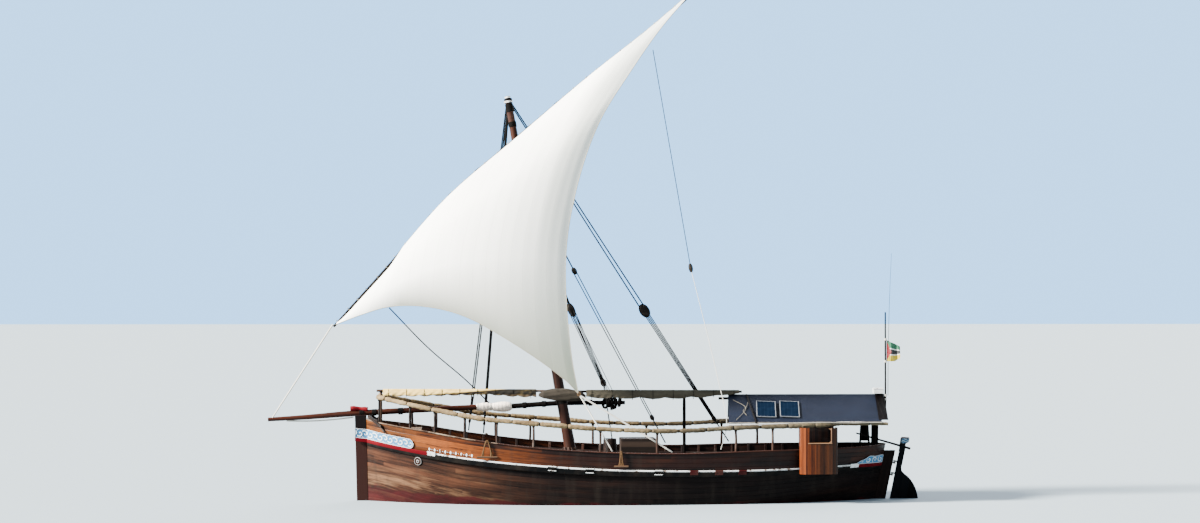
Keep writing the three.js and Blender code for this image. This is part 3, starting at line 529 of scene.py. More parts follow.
# Grooves the rows of a side that have a depth, inwards from the fair surface.
def grooved(lines, depths):
    lines = np.asarray(lines, float)
    along = np.gradient(lines, axis=0)
    across = np.gradient(lines, axis=1)
    normal = np.cross(along, across)
    normal /= np.maximum(np.linalg.norm(normal, axis=2, keepdims=True), 1e-9)
    outward = np.sign(normal[len(lines) // 2, :, 1].mean())
    return lines - normal * outward * np.array(depths)[None, :, None]


shares = np.array([share for share, _ in girth_rows])
side = []
for fraction in fractions:
    line = girth_line(fraction, shares)
    side.append(place(fraction, line[:, 0], line[:, 1]))
port_bottom = grooved(side, [depth for _, depth in girth_rows])
starboard_bottom = port_bottom[:, ::-1] * (1, -1, 1)
bottom_tones = board_tones(4, BOARD_LENGTH, 1)
rows = len(girth_rows)
bottom = loft(np.concatenate([port_bottom, starboard_bottom], axis=1),
    tone=lambda i, j, u: bottom_tones(i, j if j < rows else 2 * rows - 2 - j, u))
make("bottom_planking", bottom, bottom_finish, ["hull"])


# Topside planking
# Four wide planks a side stand above the wale and close the boat in to the rail. They are
# oiled and varnished, bright at the bow and darker towards the stern, the darkening partly the
# wood's own colour and partly painted shade.
TOPSIDE_PLANKS = 4
topside_finish, tree, shader = open_finish("topside_timber")
grain, tone, spot = grain_of(tree), tone_of(tree), spot_of(tree)
x_along = parts_of(tree, spot)[0]
# Bright planks at the bow and dark ones aft: the darkening aft is partly the wood's own colour and
# partly painted shade.
bright = board_grain(tree, grain, tone, (0.19, 0.047, 0.008), (0.014, 0.003, 0.0011), 0.4, 0.38)
aft_dark_and_shade = board_grain(tree, grain, tone, (0.0135, 0.0031, 0.0015), (0.001, 0.0004, 0.0004), 0.34,
    0.45)
drift = ramp(tree, noise(tree, stretch(tree, grain, (0.25, 1.1, 1)), 1.0, 3, 0.5, 6.0), 0.3, 0.7,
    -0.2, 0.2)
forward = clamped(tree, plus(tree, ramp(tree, x_along, 1.5, 5.9), drift))
planks = use_group(tree, streaky, {"Color": blend_colours(tree, forward, aft_dark_and_shade["Color"],
    bright["Color"]), "Vector": grain, "Amount": 0.95, "Stain": (0.0075, 0.0021, 0.0012)})["Color"]
worn = use_group(tree, weather, {"Color": planks, "Place": spot, "Runs": 0.4, "Bloom": 0.04,
    "Salt": (0.1, 0.06, 0.035)})
dress(tree, shader, worn["Color"], aft_dark_and_shade["Roughness"], 0.1, (aft_dark_and_shade["Height"], 0.5, 0.004),
    (0.03, 0.3))
graded(topside_finish, 0, 6.5, 8.2, (0.62, 0.74, 0.68))


# A line along the boat's side at a height above the wale, set out from the planking.
def side_line(at, rise, out):
    x = table_x(at)
    z = fair("wale_z", x) + rise
    return place(at, outside(at, z) + out, z)


topside_rows = seamed(TOPSIDE_PLANKS, 0.66)
outer, inner = [], []
for fraction in fractions:
    x = table_x(fraction)
    foot = fair("wale_z", x) + 0.002
    head = fair("rail_z", x) - CAP - 0.002
    heights = [foot + share * (head - foot) for share, _ in topside_rows]
    outer.append([place(fraction, outside(fraction, z), z) for z in heights])
    inner.append([place(fraction, outside(fraction, z) - PLANK, z) for z in heights[::-1]])
outer = grooved(outer, [depth for _, depth in topside_rows])
topside_tones = board_tones(4, 4.6, 2)
topside = loft(np.concatenate([outer, inner], axis=1), tone=lambda i, j, u: topside_tones(i, j, u))
both_sides("topside_planking", topside, topside_finish, ["bulwark"])


# Cap rail
# A flat plank laid over the heads of the frames and the topside's edge. Its paint has worn
# to bare, bleached wood at the bow, where the anchor and the lines are handled.
CAP_OUT, CAP_IN, CAP_ROUND = 0.035, 0.095, 0.011


# A closed section with its four corners eased, from half-widths or edges.
def eased(low, high, bottom, top, ease):
    return [(low + ease, bottom), (high - ease, bottom), (high, bottom + ease), (high, top - ease),
        (high - ease, top), (low + ease, top), (low, top - ease), (low, bottom + ease)]


cap_finish, tree, shader = open_finish("cap_timber")
grain, tone, spot = grain_of(tree), tone_of(tree), spot_of(tree)
x_along = parts_of(tree, spot)[0]
oiled = board_grain(tree, grain, tone, (0.03, 0.0095, 0.0055), (0.005, 0.002, 0.0014), 0.3, 0.5)
scuffed = board_grain(tree, grain, tone, (0.3, 0.235, 0.165), (0.05, 0.026, 0.015), 0.3, 0.7)
rubbed = noise(tree, stretch(tree, spot, (2.2, 5, 5)), 1.0, 5, 0.65, 5.0)
share = plus(tree, ramp(tree, rubbed, 0.4, 0.6, -0.5, 0.5),
    ramp(tree, x_along, 3.6, 8.0, -0.45, 0.9))
share = clamped(tree, share)
shade = blend_colours(tree, share, oiled["Color"], scuffed["Color"])
dress(tree, shader, shade, scuffed["Roughness"], 0.12, (scuffed["Height"], 0.6, 0.005))

rings = []
for fraction in fractions:
    x = table_x(fraction)
    rail_y, rail_z = fair("rail_y", x), fair("rail_z", x)
    section = eased(rail_y - CAP_IN, rail_y + CAP_OUT, rail_z - CAP, rail_z, CAP_ROUND)
    rings.append([place(fraction, y, z) for y, z in section])
cap_tones = board_tones(8, 4.0, 3)
cap = loft(rings, tone=cap_tones)
both_sides("cap_rail_plank", cap, cap_finish, ["cap_rail"])


# Frames and stringer
# The sawn heads of the frames show inside the topside planking every 0.6 m, with one long
# stringer fastened across them. They carry the cap rail and the rail posts.
FRAME_STEP = 0.62
FRAME_SIDED, FRAME_MOULDED = 0.085, 0.075
STRINGER_RISE = 0.36
inside_finish = timber_finish("inside_timber", (0.034, 0.011, 0.0062), (0.006, 0.0023, 0.0017),
    gloss=0.6, runs=0.3)
DECK_TOP = 0.047
CAMBER = 0.03


def deck_height(fraction, y):
    x = table_x(fraction)
    part = abs(y) / fair("wale_y", x)
    rise = 0.75 if part < 0.5 else 1.5 * (1 - part)
    return fair("wale_z", x) + CAMBER * fair("wale_y", x) * rise + DECK_TOP


def unit(vector):
    return np.array(vector, float) / np.linalg.norm(vector)


# A straight timber between two points, squared to a side direction, with eased arrises.
def timber_bar(start, end, wide, deep, across, ease=0.006, seed=0.5):
    start, end, across = (np.array(p, float) for p in (start, end, across))
    along = unit(end - start)
    across = unit(across - along * (across @ along))
    other = np.cross(along, across)
    section = eased(-wide / 2, wide / 2, -deep / 2, deep / 2, ease)
    rows = [[end_at + across * a + other * b for a, b in section] for end_at in (start, end)]
    return loft(rows, tone=lambda i, j, u: seed)


chance = random.Random(11)
heads = []
for x in np.arange(-8.55, 8.75, FRAME_STEP):
    low_at, high_at = fraction_at(x, fair("wale_z", x)), fraction_at(x, fair("rail_z", x))
    foot_z = fair("wale_z", x) + 0.06
    head_z = fair("rail_z", x) - CAP - 0.004
    inset = PLANK + FRAME_MOULDED / 2 + 0.004
    foot = (x, outside(low_at, foot_z) - inset, foot_z)
    head = (x, outside(high_at, head_z) - inset, head_z)
    heads.append(timber_bar(foot, head, FRAME_SIDED, FRAME_MOULDED, (1, 0, 0), 0.008,
        chance.random()))
rings = []
for fraction in fractions[8:-8:2]:
    z = fair("wale_z", table_x(fraction)) + STRINGER_RISE
    y = outside(fraction, z) - PLANK - FRAME_MOULDED - 0.008
    rings.append([place(fraction, a, b) for a, b in eased(y - 0.045, y, z - 0.06, z + 0.06, 0.008)])
frames = combine([*heads, loft(rings, tone=board_tones(8, 5.0, 4))])
both_sides("frame_heads", frames, inside_finish)


# Deck
# Sawn planks run fore and aft over the beams with a little camber, payed with dark seams.
# The wood is scrubbed and sun-bleached.
DECK_PLANK = 0.15
PITCH = (0.008, 0.006, 0.005, 1)
seams, given, result = shader_group("caulked_planks",
    [("Vector", "vector", None), ("Width", "number", 0.15), ("Length", "number", 4.0),
    ("Gap", "number", 0.006)], [("Seam", "number"), ("Tone", "number")])
u, v, _ = parts_of(seams, given["Vector"])
across = calc(seams, "DIVIDE", v, given["Width"])
plank = calc(seams, "FLOOR", across)


def to_edge(tree, value, size):
    part = calc(tree, "FRACT", value)
    return times(tree, calc(tree, "MINIMUM", part, calc(tree, "SUBTRACT", 1.0, part)), size)


edge = to_edge(seams, across, given["Width"])
shift = random_of(seams, plank)
along = plus(seams, calc(seams, "DIVIDE", u, given["Length"]), shift)
near = calc(seams, "MINIMUM", edge, to_edge(seams, along, given["Length"]))
seam = calc(seams, "SUBTRACT", 1.0, calc(seams, "DIVIDE", near, given["Gap"]))
seams.links.new(clamped(seams, seam), result["Seam"])
label = calc(seams, "MULTIPLY_ADD", plank, 17.3, calc(seams, "FLOOR", along))
own = random_of(seams, label)
seams.links.new(own, result["Tone"])


# A finish of separate planks drawn over one surface: seams, butts, and a tone for each board.
def planked_finish(name, light, dark, width, length=4.0, gap=0.006, gloss=0.6, spread=0.5, runs=0.0,
        bloom=0.03, shine=0.08):
    made, tree, shader = open_finish(name)
    grain, spot = grain_of(tree), spot_of(tree)
    laid = use_group(tree, seams, {"Vector": grain, "Width": width, "Length": length, "Gap": gap})
    wood = board_grain(tree, grain, laid["Tone"], light, dark, spread, gloss)
    worn = use_group(tree, weather, {"Color": wood["Color"], "Place": spot, "Runs": runs,
        "Bloom": bloom})
    shade = blend_colours(tree, laid["Seam"], worn["Color"], PITCH)
    height = calc(tree, "MULTIPLY_ADD", laid["Seam"], -1.6, wood["Height"])
    dress(tree, shader, shade, wood["Roughness"], shine, (height, 0.7, 0.005))
    return made


# Grain coordinates by place: u along one direction of the boat, v along another.
def grain_by_place(shape, along, across):
    along, across = np.array(along, float), np.array(across, float)
    spots = shape["verts"]
    shape["uv"] = [np.stack([spots[list(f)] @ along, spots[list(f)] @ across], 1)
        for f in shape["faces"]]
    return shape


deck_finish = planked_finish("deck_timber", (0.135, 0.086, 0.05), (0.036, 0.022, 0.013), DECK_PLANK)
rings = []
for fraction in fractions[6:-6]:
    half = fair("wale_y", table_x(fraction)) - PLANK - 0.004
    ys = np.linspace(half, -half, 13)
    top = [place(fraction, y, deck_height(fraction, y)) for y in ys]
    low = [place(fraction, y, deck_height(fraction, y) - 0.045) for y in ys[::-1]]
    rings.append(top + low)
deck = grain_by_place(loft(rings), (1, 0, 0), (0, 1, 0))
make("deck_planks", deck, deck_finish, ["deck"])


# Foredeck
# A short raised deck in the eyes of the boat, on a planked bulkhead, where the anchor cable
# and the tack of the sail are worked.
FOREDECK_TOP, FOREDECK_AFT, FOREDECK_FORE = 2.56, 7.35, 9.0
rings = []
for fraction in np.linspace(fraction_at(FOREDECK_AFT, FOREDECK_TOP),
        fraction_at(FOREDECK_FORE, FOREDECK_TOP), 16):
    half = outside(fraction, FOREDECK_TOP - 0.05) - PLANK - 0.012
    section = eased(-half, half, FOREDECK_TOP - 0.05, FOREDECK_TOP, 0.006)
    rings.append([place(fraction, y, z) for y, z in section])
platform = grain_by_place(loft(rings), (1, 0, 0), (0, 1, 0))
BULKHEAD_FOOT = 1.9
foot_half = outside(fraction_at(7.4, BULKHEAD_FOOT), BULKHEAD_FOOT) - PLANK - 0.13
bulkhead = timber_bar((7.377, 0, BULKHEAD_FOOT), (7.377, 0, 2.53), 0.05, 2 * foot_half, (1, 0, 0))
bulkhead = grain_by_place(bulkhead, (0, 0, 1), (0, 1, 0))
make("foredeck_planks", combine([platform, bulkhead]), deck_finish, ["foredeck"])


# Wale and rubbing strakes
# A heavy tarred band runs the length of the boat where the deck meets the side. The strake
# over it is painted white, and red at the two ends, with a white block where they meet.
paint, given, result = shader_group("old_paint", [("Vector", "vector", None),
    ("Paint", "colour", (0.8, 0.8, 0.8)), ("Under", "colour", (0.1, 0.06, 0.04)),
    ("Loss", "number", 0.2), ("Grime", "number", 0.3), ("Scale", "number", 6.0)],
    [("Color", "colour"), ("Roughness", "number"), ("Height", "number")])
flakes = noise(paint, given["Vector"], given["Scale"], 7, 0.68, 2.0)
lost = calc(paint, "SUBTRACT", plus(paint, flakes, given["Loss"]), 0.78)
lost = ramp(paint, lost, 0.0, 0.03)
dirt = noise(paint, given["Vector"], 2.2, 5, 0.6, 7.0)
dirt = times(paint, ramp(paint, dirt, 0.42, 0.75), given["Grime"])
soiled = blend_colours(paint, dirt, given["Paint"], (0.09, 0.065, 0.045, 1))
paint.links.new(blend_colours(paint, lost, soiled, given["Under"]), result["Color"])
paint.links.new(ramp(paint, lost, 0, 1, 0.5, 0.85), result["Roughness"])
paint.links.new(calc(paint, "SUBTRACT", times(paint, flakes, 0.3), lost), result["Height"])


def painted_finish(name, colour, under, loss, grime, scale=6.0, shine=0.2):
    made, tree, shader = open_finish(name)
    spot = spot_of(tree)
    coat = use_group(tree, paint, {"Vector": spot, "Paint": colour, "Under": under, "Loss": loss,
        "Grime": grime, "Scale": scale})
    dress(tree, shader, coat["Color"], coat["Roughness"], shine, (coat["Height"], 0.6, 0.002))
    return made


tar_paint = painted_finish("tarred_black", (0.0014, 0.0015, 0.0017), (0.006, 0.0035, 0.0028), 0.16,
    0.1, shine=0.04)
white_paint = painted_finish("white_paint", (0.62, 0.63, 0.62), (0.1, 0.065, 0.045), 0.22, 0.35)
red_paint = painted_finish("red_paint", (0.066, 0.0008, 0.0034), (0.02, 0.003, 0.003), 0.16, 0.03,
    shine=0.03)

WALE_FOOT, WALE_HEAD, WALE_OUT = -0.17, -0.006, 0.085
STEM_WIDE = 0.42
STRAKE_FOOT, STRAKE_HEAD, STRAKE_OUT = 0.002, 0.058, 0.055
BAND_SEAT = 0.004


def band(start, end, foot, head, out, steps, ease=0.012, forward=0.0):
    rings = []
    for at in np.linspace(start, end, steps):
        low, high = side_line(at, foot, BAND_SEAT), side_line(at, head, BAND_SEAT)
        face_low, face_high = side_line(at, foot + ease, out), side_line(at, head - ease, out)
        under = side_line(at, foot, out - ease)
        over = side_line(at, head, out - ease)
        rings.append([low, under, face_low, face_high, over, high])
    if forward:
        rings.append(np.array(rings[-1]) + (forward, 0, 0.05))
    return loft(rings, tone=board_tones(6, 5.5, 6))


def at_wale(x):
    return fraction_at(x, fair("wale_z", x))


both_sides("wale_timber", band(0, 1, WALE_FOOT, WALE_HEAD, WALE_OUT, 140), tar_paint, ["wale"])
BEAM_HEAD_X = (2.7, 1.38, -1.05, -2.31, -3.2, -4.05)
HEAD_HALF = 0.15
RED_BOW, BLOCK_BOW, BLOCK_AFT, RED_AFT = 7.1, 6.82, -8.06, -8.38
white_runs, start = [], BLOCK_BOW
for x in BEAM_HEAD_X:
    white_runs.append((x + HEAD_HALF, start))
    start = x - HEAD_HALF
white_runs.append((BLOCK_AFT, start))
strakes = [band(at_wale(low), at_wale(high), STRAKE_FOOT, STRAKE_HEAD, STRAKE_OUT,
    max(int((high - low) * 5), 4)) for low, high in white_runs]
blocks = [band(at_wale(low), at_wale(high), -0.055, 0.085, 0.1, 6)
    for low, high in ((BLOCK_BOW, RED_BOW), (RED_AFT, BLOCK_AFT))]
both_sides("white_strake", combine([*strakes, *blocks]), white_paint)
reds = [band(at_wale(RED_BOW), 1, -0.07, 0.066, 0.1, 30, forward=STEM_WIDE + 0.01),
    band(0, at_wale(RED_AFT), -0.06, 0.066, 0.09, 24)]
both_sides("red_strake", combine(reds), red_paint)


# Stem, stern post and keel
# Three heavy baulks that the planking is fastened to. They are built up of lengths scarfed and
# bolted together and tarred over. The stem's wood shows reddish up to its dark head.
post_finish = timber_finish("post_timber", (0.012, 0.0055, 0.0042), (0.0022, 0.0014, 0.0013),
    gloss=0.6, spread=0.5, runs=0.3, bloom=0.0, depth=0.008, shine=0.04)
stem_finish = timber_finish("stem_timber", (0.24, 0.062, 0.04), (0.018, 0.0065, 0.005), gloss=0.6,
    spread=0.9, runs=0.6, bloom=0.0, depth=0.008, shine=0.06)
graded(stem_finish, 2, 2.5, 2.62, (0.16, 0.26, 0.34))
POST_HALF = 0.092
STEM_HEAD, KEEL_FOOT = 3.08, -1.48


# An upright slab: rows of fore and aft edges at each height, with its four corners eased.
def slab(rows, half, tone):
    rings = []
    for z, aft, fore in rows:
        rings.append([(x, y, z) for x, y in eased(aft, fore, -half, half, 0.014)])
    return loft(rings, tone=tone)


stem_levels = np.linspace(KEEL_FOOT, STEM_HEAD - 0.02, 26)
stem_rows = [(z, float(stem_rabbet(max(z, GARBOARD_Z))) + 0.004,
    float(stem_rabbet(max(z, GARBOARD_Z))) + STEM_WIDE) for z in stem_levels]
stem_rows[0] = (KEEL_FOOT, stem_rows[0][1], stem_rows[0][1] + 0.33)
stem_rows.append((STEM_HEAD, stem_rows[-1][1] + 0.03, stem_rows[-1][2] - 0.01))
stem = slab(stem_rows, POST_HALF, tone=board_tones(8, 2.3, 21))
make("stem_timber", stem, stem_finish, ["stem_post"])
stern_rows = [(z, -9.55 - STERN_RAKE * z, float(stern_rabbet(z)) - 0.004)
    for z in np.linspace(KEEL_FOOT, 1.76, 14)]
make("stern_timber", slab(stern_rows, POST_HALF, tone=board_tones(8, 2.0, 22)), post_finish,
    ["stern_post"])
keel_low, keel_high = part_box("keel")
keel = timber_bar((keel_low.x, 0, (keel_low.z + keel_high.z) / 2),
    (keel_high.x, 0, (keel_low.z + keel_high.z) / 2), 2 * POST_HALF, keel_high.z - keel_low.z,
    (0, 1, 0), 0.012, 0.4)
make("keel_timber", keel, post_finish, ["keel"])


# Bow ornament board
# A long painted board on each bow, let over the stem's side: pale blue with a white border and
# a carved running scroll. Its after end is rounded.
BOARD_FOOT, BOARD_HEAD = 0.068, 0.405
BOARD_THICK, BOARD_SEAT = 0.028, 0.015
BOARD_ROWS, BORDER, RELIEF = 34, 0.022, 0.014
LEAD_SHARES = np.linspace(0, 1, 45)[1:]


# A grid of points on a side board: share of its length, share of its height, and relief.
def board_grid(columns, rows, edges, at_from, at_to, forward=0.0):
    points = []
    for a in columns:
        at = at_from + (at_to - at_from) * a
        foot, head = edges(a)
        line = []
        for b, relief in rows:
            rise = foot + (head - foot) * b
            line.append(side_line(min(at, 1.0), rise, BOARD_SEAT + relief))
        points.append(line)
    lead = [points[-1] + np.array([forward, 0, 0.04]) * share for share in LEAD_SHARES if forward]
    return np.array([*points, *lead])


# Traditional running scroll in low relief: spirals along a wave, 0 at the ground and 1 on top.
def scroll(height, along, across, pitch):
    k = np.floor(along / pitch)
    flip = np.where(k % 2 == 0, 1.0, -1.0)
    dx = along - (k + 0.5) * pitch
    dy = (across - height / 2) * flip
    reach = np.hypot(dx, dy)
    arms = np.cos(np.arctan2(dy, dx) - reach * 2 * math.pi / (height * 0.4))
    return np.clip(arms * 2.4 - 0.8, 0, 1) * np.clip((height * 0.5 - reach) / 0.02, 0, 1)


carved_finish, tree, shader = open_finish("carved_board")
spot = spot_of(tree)
raised = tone_of(tree, "raised")
coat = use_group(tree, paint, {"Vector": spot, "Paint": (0.04, 0.14, 0.26),
    "Under": (0.12, 0.16, 0.19), "Loss": 0.18, "Grime": 0.1, "Scale": 9.0})
top_coat = use_group(tree, paint, {"Vector": spot, "Paint": (0.52, 0.55, 0.56),
    "Under": (0.2, 0.3, 0.36), "Loss": 0.2, "Grime": 0.15, "Scale": 11.0})
shade = blend_colours(tree, ramp(tree, raised, 0.45, 0.85), coat["Color"], top_coat["Color"])
dress(tree, shader, shade, coat["Roughness"], 0.06, (coat["Height"], 0.5, 0.002))


# A carved board: a face with relief on a plain back, with a raised border.
def carved_board(name, node, at_from, at_to, edges, length, pitch, forward=0.0, columns=180):
    a = np.linspace(0, 1, columns)
    b = np.linspace(0, 1, BOARD_ROWS)
    base = board_grid(a, [(s, BOARD_THICK) for s in b], edges, at_from, at_to, forward)
    heights = np.array([edges(s)[1] - edges(s)[0] for s in a])
    if forward:
        a = np.append(a, 1 + LEAD_SHARES * forward / length)
        heights = np.append(heights, heights[-1] + LEAD_SHARES * 0)
    reach = a[:, None] * length
    rise = b[None, :] * heights[:, None]
    full = heights[:, None] + rise * 0
    pattern = scroll(full, reach + rise * 0, rise, pitch)
    margin = np.minimum(np.minimum(rise, full - rise),
        np.minimum(reach, reach.max() - reach) + rise * 0)
    frame_part = np.clip((BORDER - margin) / 0.012, 0, 1)
    lift = np.maximum(frame_part, pattern * (margin > BORDER + 0.008))
    back = board_grid(a[:columns], [(s, 0.0) for s in (1, 0)], edges, at_from, at_to, forward)
    face = base + np.array([0, 1, 0]) * (lift * RELIEF)[:, :, None]
    shape = loft(np.concatenate([face, back], axis=1))
    values = np.concatenate([lift, np.ones((len(a), 2))], axis=1).ravel()
    for made in both_sides(name, shape, carved_finish, [node]):
        layer = made.data.attributes.new("raised", "FLOAT", "POINT")
        layer.data.foreach_set("value", values.astype(np.float32))


def bow_edges(a):
    half = (BOARD_HEAD - BOARD_FOOT) / 2
    reach = min(a * 1.75 / half, 1.0)
    half *= math.sqrt(max(1 - (1 - reach) ** 2, 0.02))
    middle = (BOARD_HEAD + BOARD_FOOT) / 2
    return middle - half, middle + half


def stern_edges(a):
    head = np.interp(a, (0, 0.58, 0.7, 0.84, 0.94, 1), (0.335, 0.33, 0.255, 0.205, 0.13, 0.085))
    return BOARD_FOOT, float(head) + 0.012 * math.sin(a * 14)


carved_board("bow_carving", "bow_board", fraction_at(7.6, 2.1), 1.0, bow_edges, 1.75, 0.19,
    STEM_WIDE + 0.01)
carved_board("stern_carving", "stern_board", 0.0, fraction_at(-8.3, 1.3), stern_edges, 1.15, 0.27,
    columns=120)


# Painted eye
# A round boss on each bow below the wale, turned from one piece and painted in rings: white,
# dark red, white and a dark pupil.
EYE_X, EYE_Z = 7.42, 1.515
EYE_STEPS = ((0.146, 0.0), (0.146, 0.016), (0.14, 0.026), (0.132, 0.028), (0.128, 0.022),
    (0.06, 0.024), (0.056, 0.032), (0.032, 0.034), (0.028, 0.04), (0.0, 0.044))
eye_finish, tree, shader = open_finish("eye_paint")
spot = spot_of(tree)
radius = parts_of(tree, grain_of(tree))[0]


# Flat bands of colour, each from its own place on.
def colour_bands(tree, value, bands):
    made = add_node(tree, "ShaderNodeValToRGB", {0: value})
    made.color_ramp.interpolation = "CONSTANT"
    (_, first), (made.color_ramp.elements[1].position, second), *others = bands
    made.color_ramp.elements[0].color, made.color_ramp.elements[1].color = first, second
    for position, colour in others:
        made.color_ramp.elements.new(position).color = colour
    return made.outputs[0]


rings_of_paint = colour_bands(tree, calc(tree, "DIVIDE", radius, 0.15), (
    (0, (0.004, 0.003, 0.004, 1)), (0.2, (0.19, 0.19, 0.185, 1)),
    (0.385, (0.005, 0.0006, 0.0008, 1)), (0.862, (0.21, 0.21, 0.205, 1))))
coat = use_group(tree, paint, {"Vector": spot, "Paint": rings_of_paint, "Under": (0.12, 0.07, 0.05),
    "Loss": 0.2, "Grime": 0.3, "Scale": 14.0})
dress(tree, shader, coat["Color"], coat["Roughness"], 0.05)
eye_at = fraction_at(EYE_X, EYE_Z)
here = place(eye_at, outside(eye_at, EYE_Z), EYE_Z)
ahead = place(eye_at + 0.01, outside(eye_at + 0.01, EYE_Z), EYE_Z) - here
above = place(eye_at, outside(eye_at, EYE_Z + 0.1), EYE_Z + 0.1) - here
facing, ahead = unit(np.cross(above, ahead)), unit(ahead)
above = np.cross(ahead, facing)
turn = np.linspace(0, 2 * math.pi, 40, endpoint=False)
rings = [[here + facing * (0.012 + depth) + (ahead * math.cos(t) + above * math.sin(t))
    * max(r, 0.001) for t in turn] for r, depth in EYE_STEPS]
eye = loft(rings)
radii = [max(r, 0.001) for r, _ in EYE_STEPS]
for f, corners_of in enumerate(eye["faces"]):
    rows_of = [radii[c // len(turn)] for c in corners_of]
    eye["uv"][f] = np.array([(r, 0) for r in rows_of])
both_sides("painted_eye", eye, eye_finish, ["bow_eye"])


# Rudder
# A deep plank blade under a narrow stock, hung outside the stern post. The head above the
# cheeks is cut with a mortise for the tiller, and its tip is painted pale blue and white.


# A piece in the form of a solid of the frame, its arrises eased and its grain along one way.
def eased_solid(name, node, finish, ease, along, across, body="boat"):
    work = bmesh.new()
    work.from_mesh(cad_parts[node].data)
    bmesh.ops.remove_doubles(work, verts=work.verts, dist=0.0002)
    bmesh.ops.dissolve_limit(work, angle_limit=math.radians(1.5), verts=work.verts,
        edges=work.edges)
    edges = [e for e in work.edges if len(e.link_faces) == 2
        and e.calc_face_angle(0.0) > math.radians(30)]
    bmesh.ops.bevel(work, geom=edges, offset=ease, segments=2, affect="EDGES", clamp_overlap=True)
    bmesh.ops.recalc_face_normals(work, faces=work.faces)
    work.verts.index_update()
    shape = {"verts": np.array([v.co[:] for v in work.verts]),
        "faces": [tuple(v.index for v in f.verts) for f in work.faces],
        "tone": [0.5] * len(work.faces)}
    work.free()
    return make(name, grain_by_place(shape, along, across), finish, [node], body)


rudder_finish = planked_finish("rudder_timber", (0.0018, 0.0026, 0.0034), (0.0005, 0.0008, 0.0011),
    0.24, 9.0, 0.008, gloss=0.6, spread=0.5, runs=0.2, bloom=0.0, shine=0.03)
eased_solid("rudder_planks", "rudder_blade", rudder_finish, 0.012, (0.2, 0, 1), (1, 0, 0.2),
    "rudder")
head_finish, tree, shader = open_finish("rudder_head_timber")
grain, spot = grain_of(tree), spot_of(tree)
x_along, _, z_up = parts_of(tree, spot)
wood = use_group(tree, timber, {"Vector": grain, "Light": (0.0028, 0.003, 0.0034),
    "Dark": (0.0007, 0.0008, 0.001), "Gloss": 0.6})
waves = calc(tree, "SINE", calc(tree, "MULTIPLY_ADD", z_up, 70.0,
    times(tree, calc(tree, "SINE", times(tree, x_along, 34.0)), 1.6)))
scrolls = blend_colours(tree, ramp(tree, waves, 0.25, 0.5), (0.03, 0.095, 0.17, 1),
    (0.26, 0.32, 0.36, 1))
coat = use_group(tree, paint, {"Vector": spot, "Paint": scrolls, "Under": (0.05, 0.07, 0.08),
    "Loss": 0.24, "Grime": 0.3, "Scale": 10.0})
painted = times(tree, ramp(tree, z_up, 2.01, 2.03), ramp(tree, z_up, 2.2, 2.18))
painted = times(tree, painted, ramp(tree, x_along, -10.13, -10.16))
shade = blend_colours(tree, painted, wood["Color"], coat["Color"])
tip = ramp(tree, z_up, 2.185, 2.2)
shade = blend_colours(tree, tip, shade, (0.03, 0.0022, 0.0022, 1))
dress(tree, shader, shade, wood["Roughness"], 0.04, (wood["Height"], 0.5, 0.006))
eased_solid("rudder_head_timber", "rudder_head", head_finish, 0.014, (0.2, 0, 1), (1, 0, 0.2),
    "rudder")


# Tiller
# One long tapered bar of hardwood, dark and polished by hands. Its thick end goes through the
# mortise in the rudder's head and turns with it.
tiller_finish = timber_finish("tiller_timber", (0.01, 0.005, 0.0038), (0.002, 0.0012, 0.001), 0.35,
    shine=0.06)
eased_solid("tiller_bar", "tiller", tiller_finish, 0.012, (0.96, 0, 0.28), (0, 1, 0.3), "rudder")


# Rudder irons
# Forged straps and eyes on the stern post carry pins on the rudder, at three heights. All of
# them are rusted black-brown.
iron_finish, tree, shader = open_finish("forged_iron")
spot = spot_of(tree)
rust = noise(tree, spot, 14.0, 6, 0.65, 3.0)
shade = blend_colours(tree, ramp(tree, rust, 0.42, 0.62), (0.004, 0.0035, 0.0035, 1),
    (0.016, 0.006, 0.003, 1))
dress(tree, shader, shade, ramp(tree, rust, 0.35, 0.65, 0.45, 0.9), relief=(rust, 0.6, 0.003))
shader.inputs["Metallic"].default_value = 0.45
for number in (1, 2, 3):
    eased_solid(f"gudgeon_iron_{number}", f"gudgeon_{number}", iron_finish, 0.004, (1, 0, 0),
        (0, 0, 1))
    eased_solid(f"pintle_iron_{number}", f"pintle_{number}", iron_finish, 0.004, (1, 0, 0),
        (0, 0, 1), "rudder")


# Mast
# One tall tree trunk, raked forward and oiled, with tarred rope wooldings round it. A round
# tarred cap sits on its head, stepped in once, with two white-painted bands.
MAST_RAKE = 0.1787


def mast_x(z):
    return 1.98 + MAST_RAKE * (z - 2.0)


# A smooth line through points, centripetal, spaced evenly along its length.
def smooth_line(points, count):
    p = np.array(points, float)
    if len(p) == 2:
        return p[0] + (p[1] - p[0]) * np.linspace(0, 1, count)[:, None]
    p = np.concatenate([[2 * p[0] - p[1]], p, [2 * p[-1] - p[-2]]])
    fine = []
    for k in range(1, len(p) - 2):
        a, b, c, d = p[k - 1:k + 3]
        ab, bc, cd = (math.sqrt(np.linalg.norm(q)) for q in (b - a, c - b, d - c))
        into = ((b - a) / ab - (c - a) / (ab + bc) + (c - b) / bc) * bc
        out_of = ((c - b) / bc - (d - b) / (bc + cd) + (d - c) / cd) * bc
        t = np.linspace(0, 1, 40, endpoint=k == len(p) - 3)[:, None]
        fine.append(cubic(b, c, into, out_of, t))
    fine = np.concatenate(fine)
    run = run_of(fine)
    spaced = np.linspace(0, run[-1], count)
    return np.stack([np.interp(spaced, run, fine[:, k]) for k in range(3)], 1)


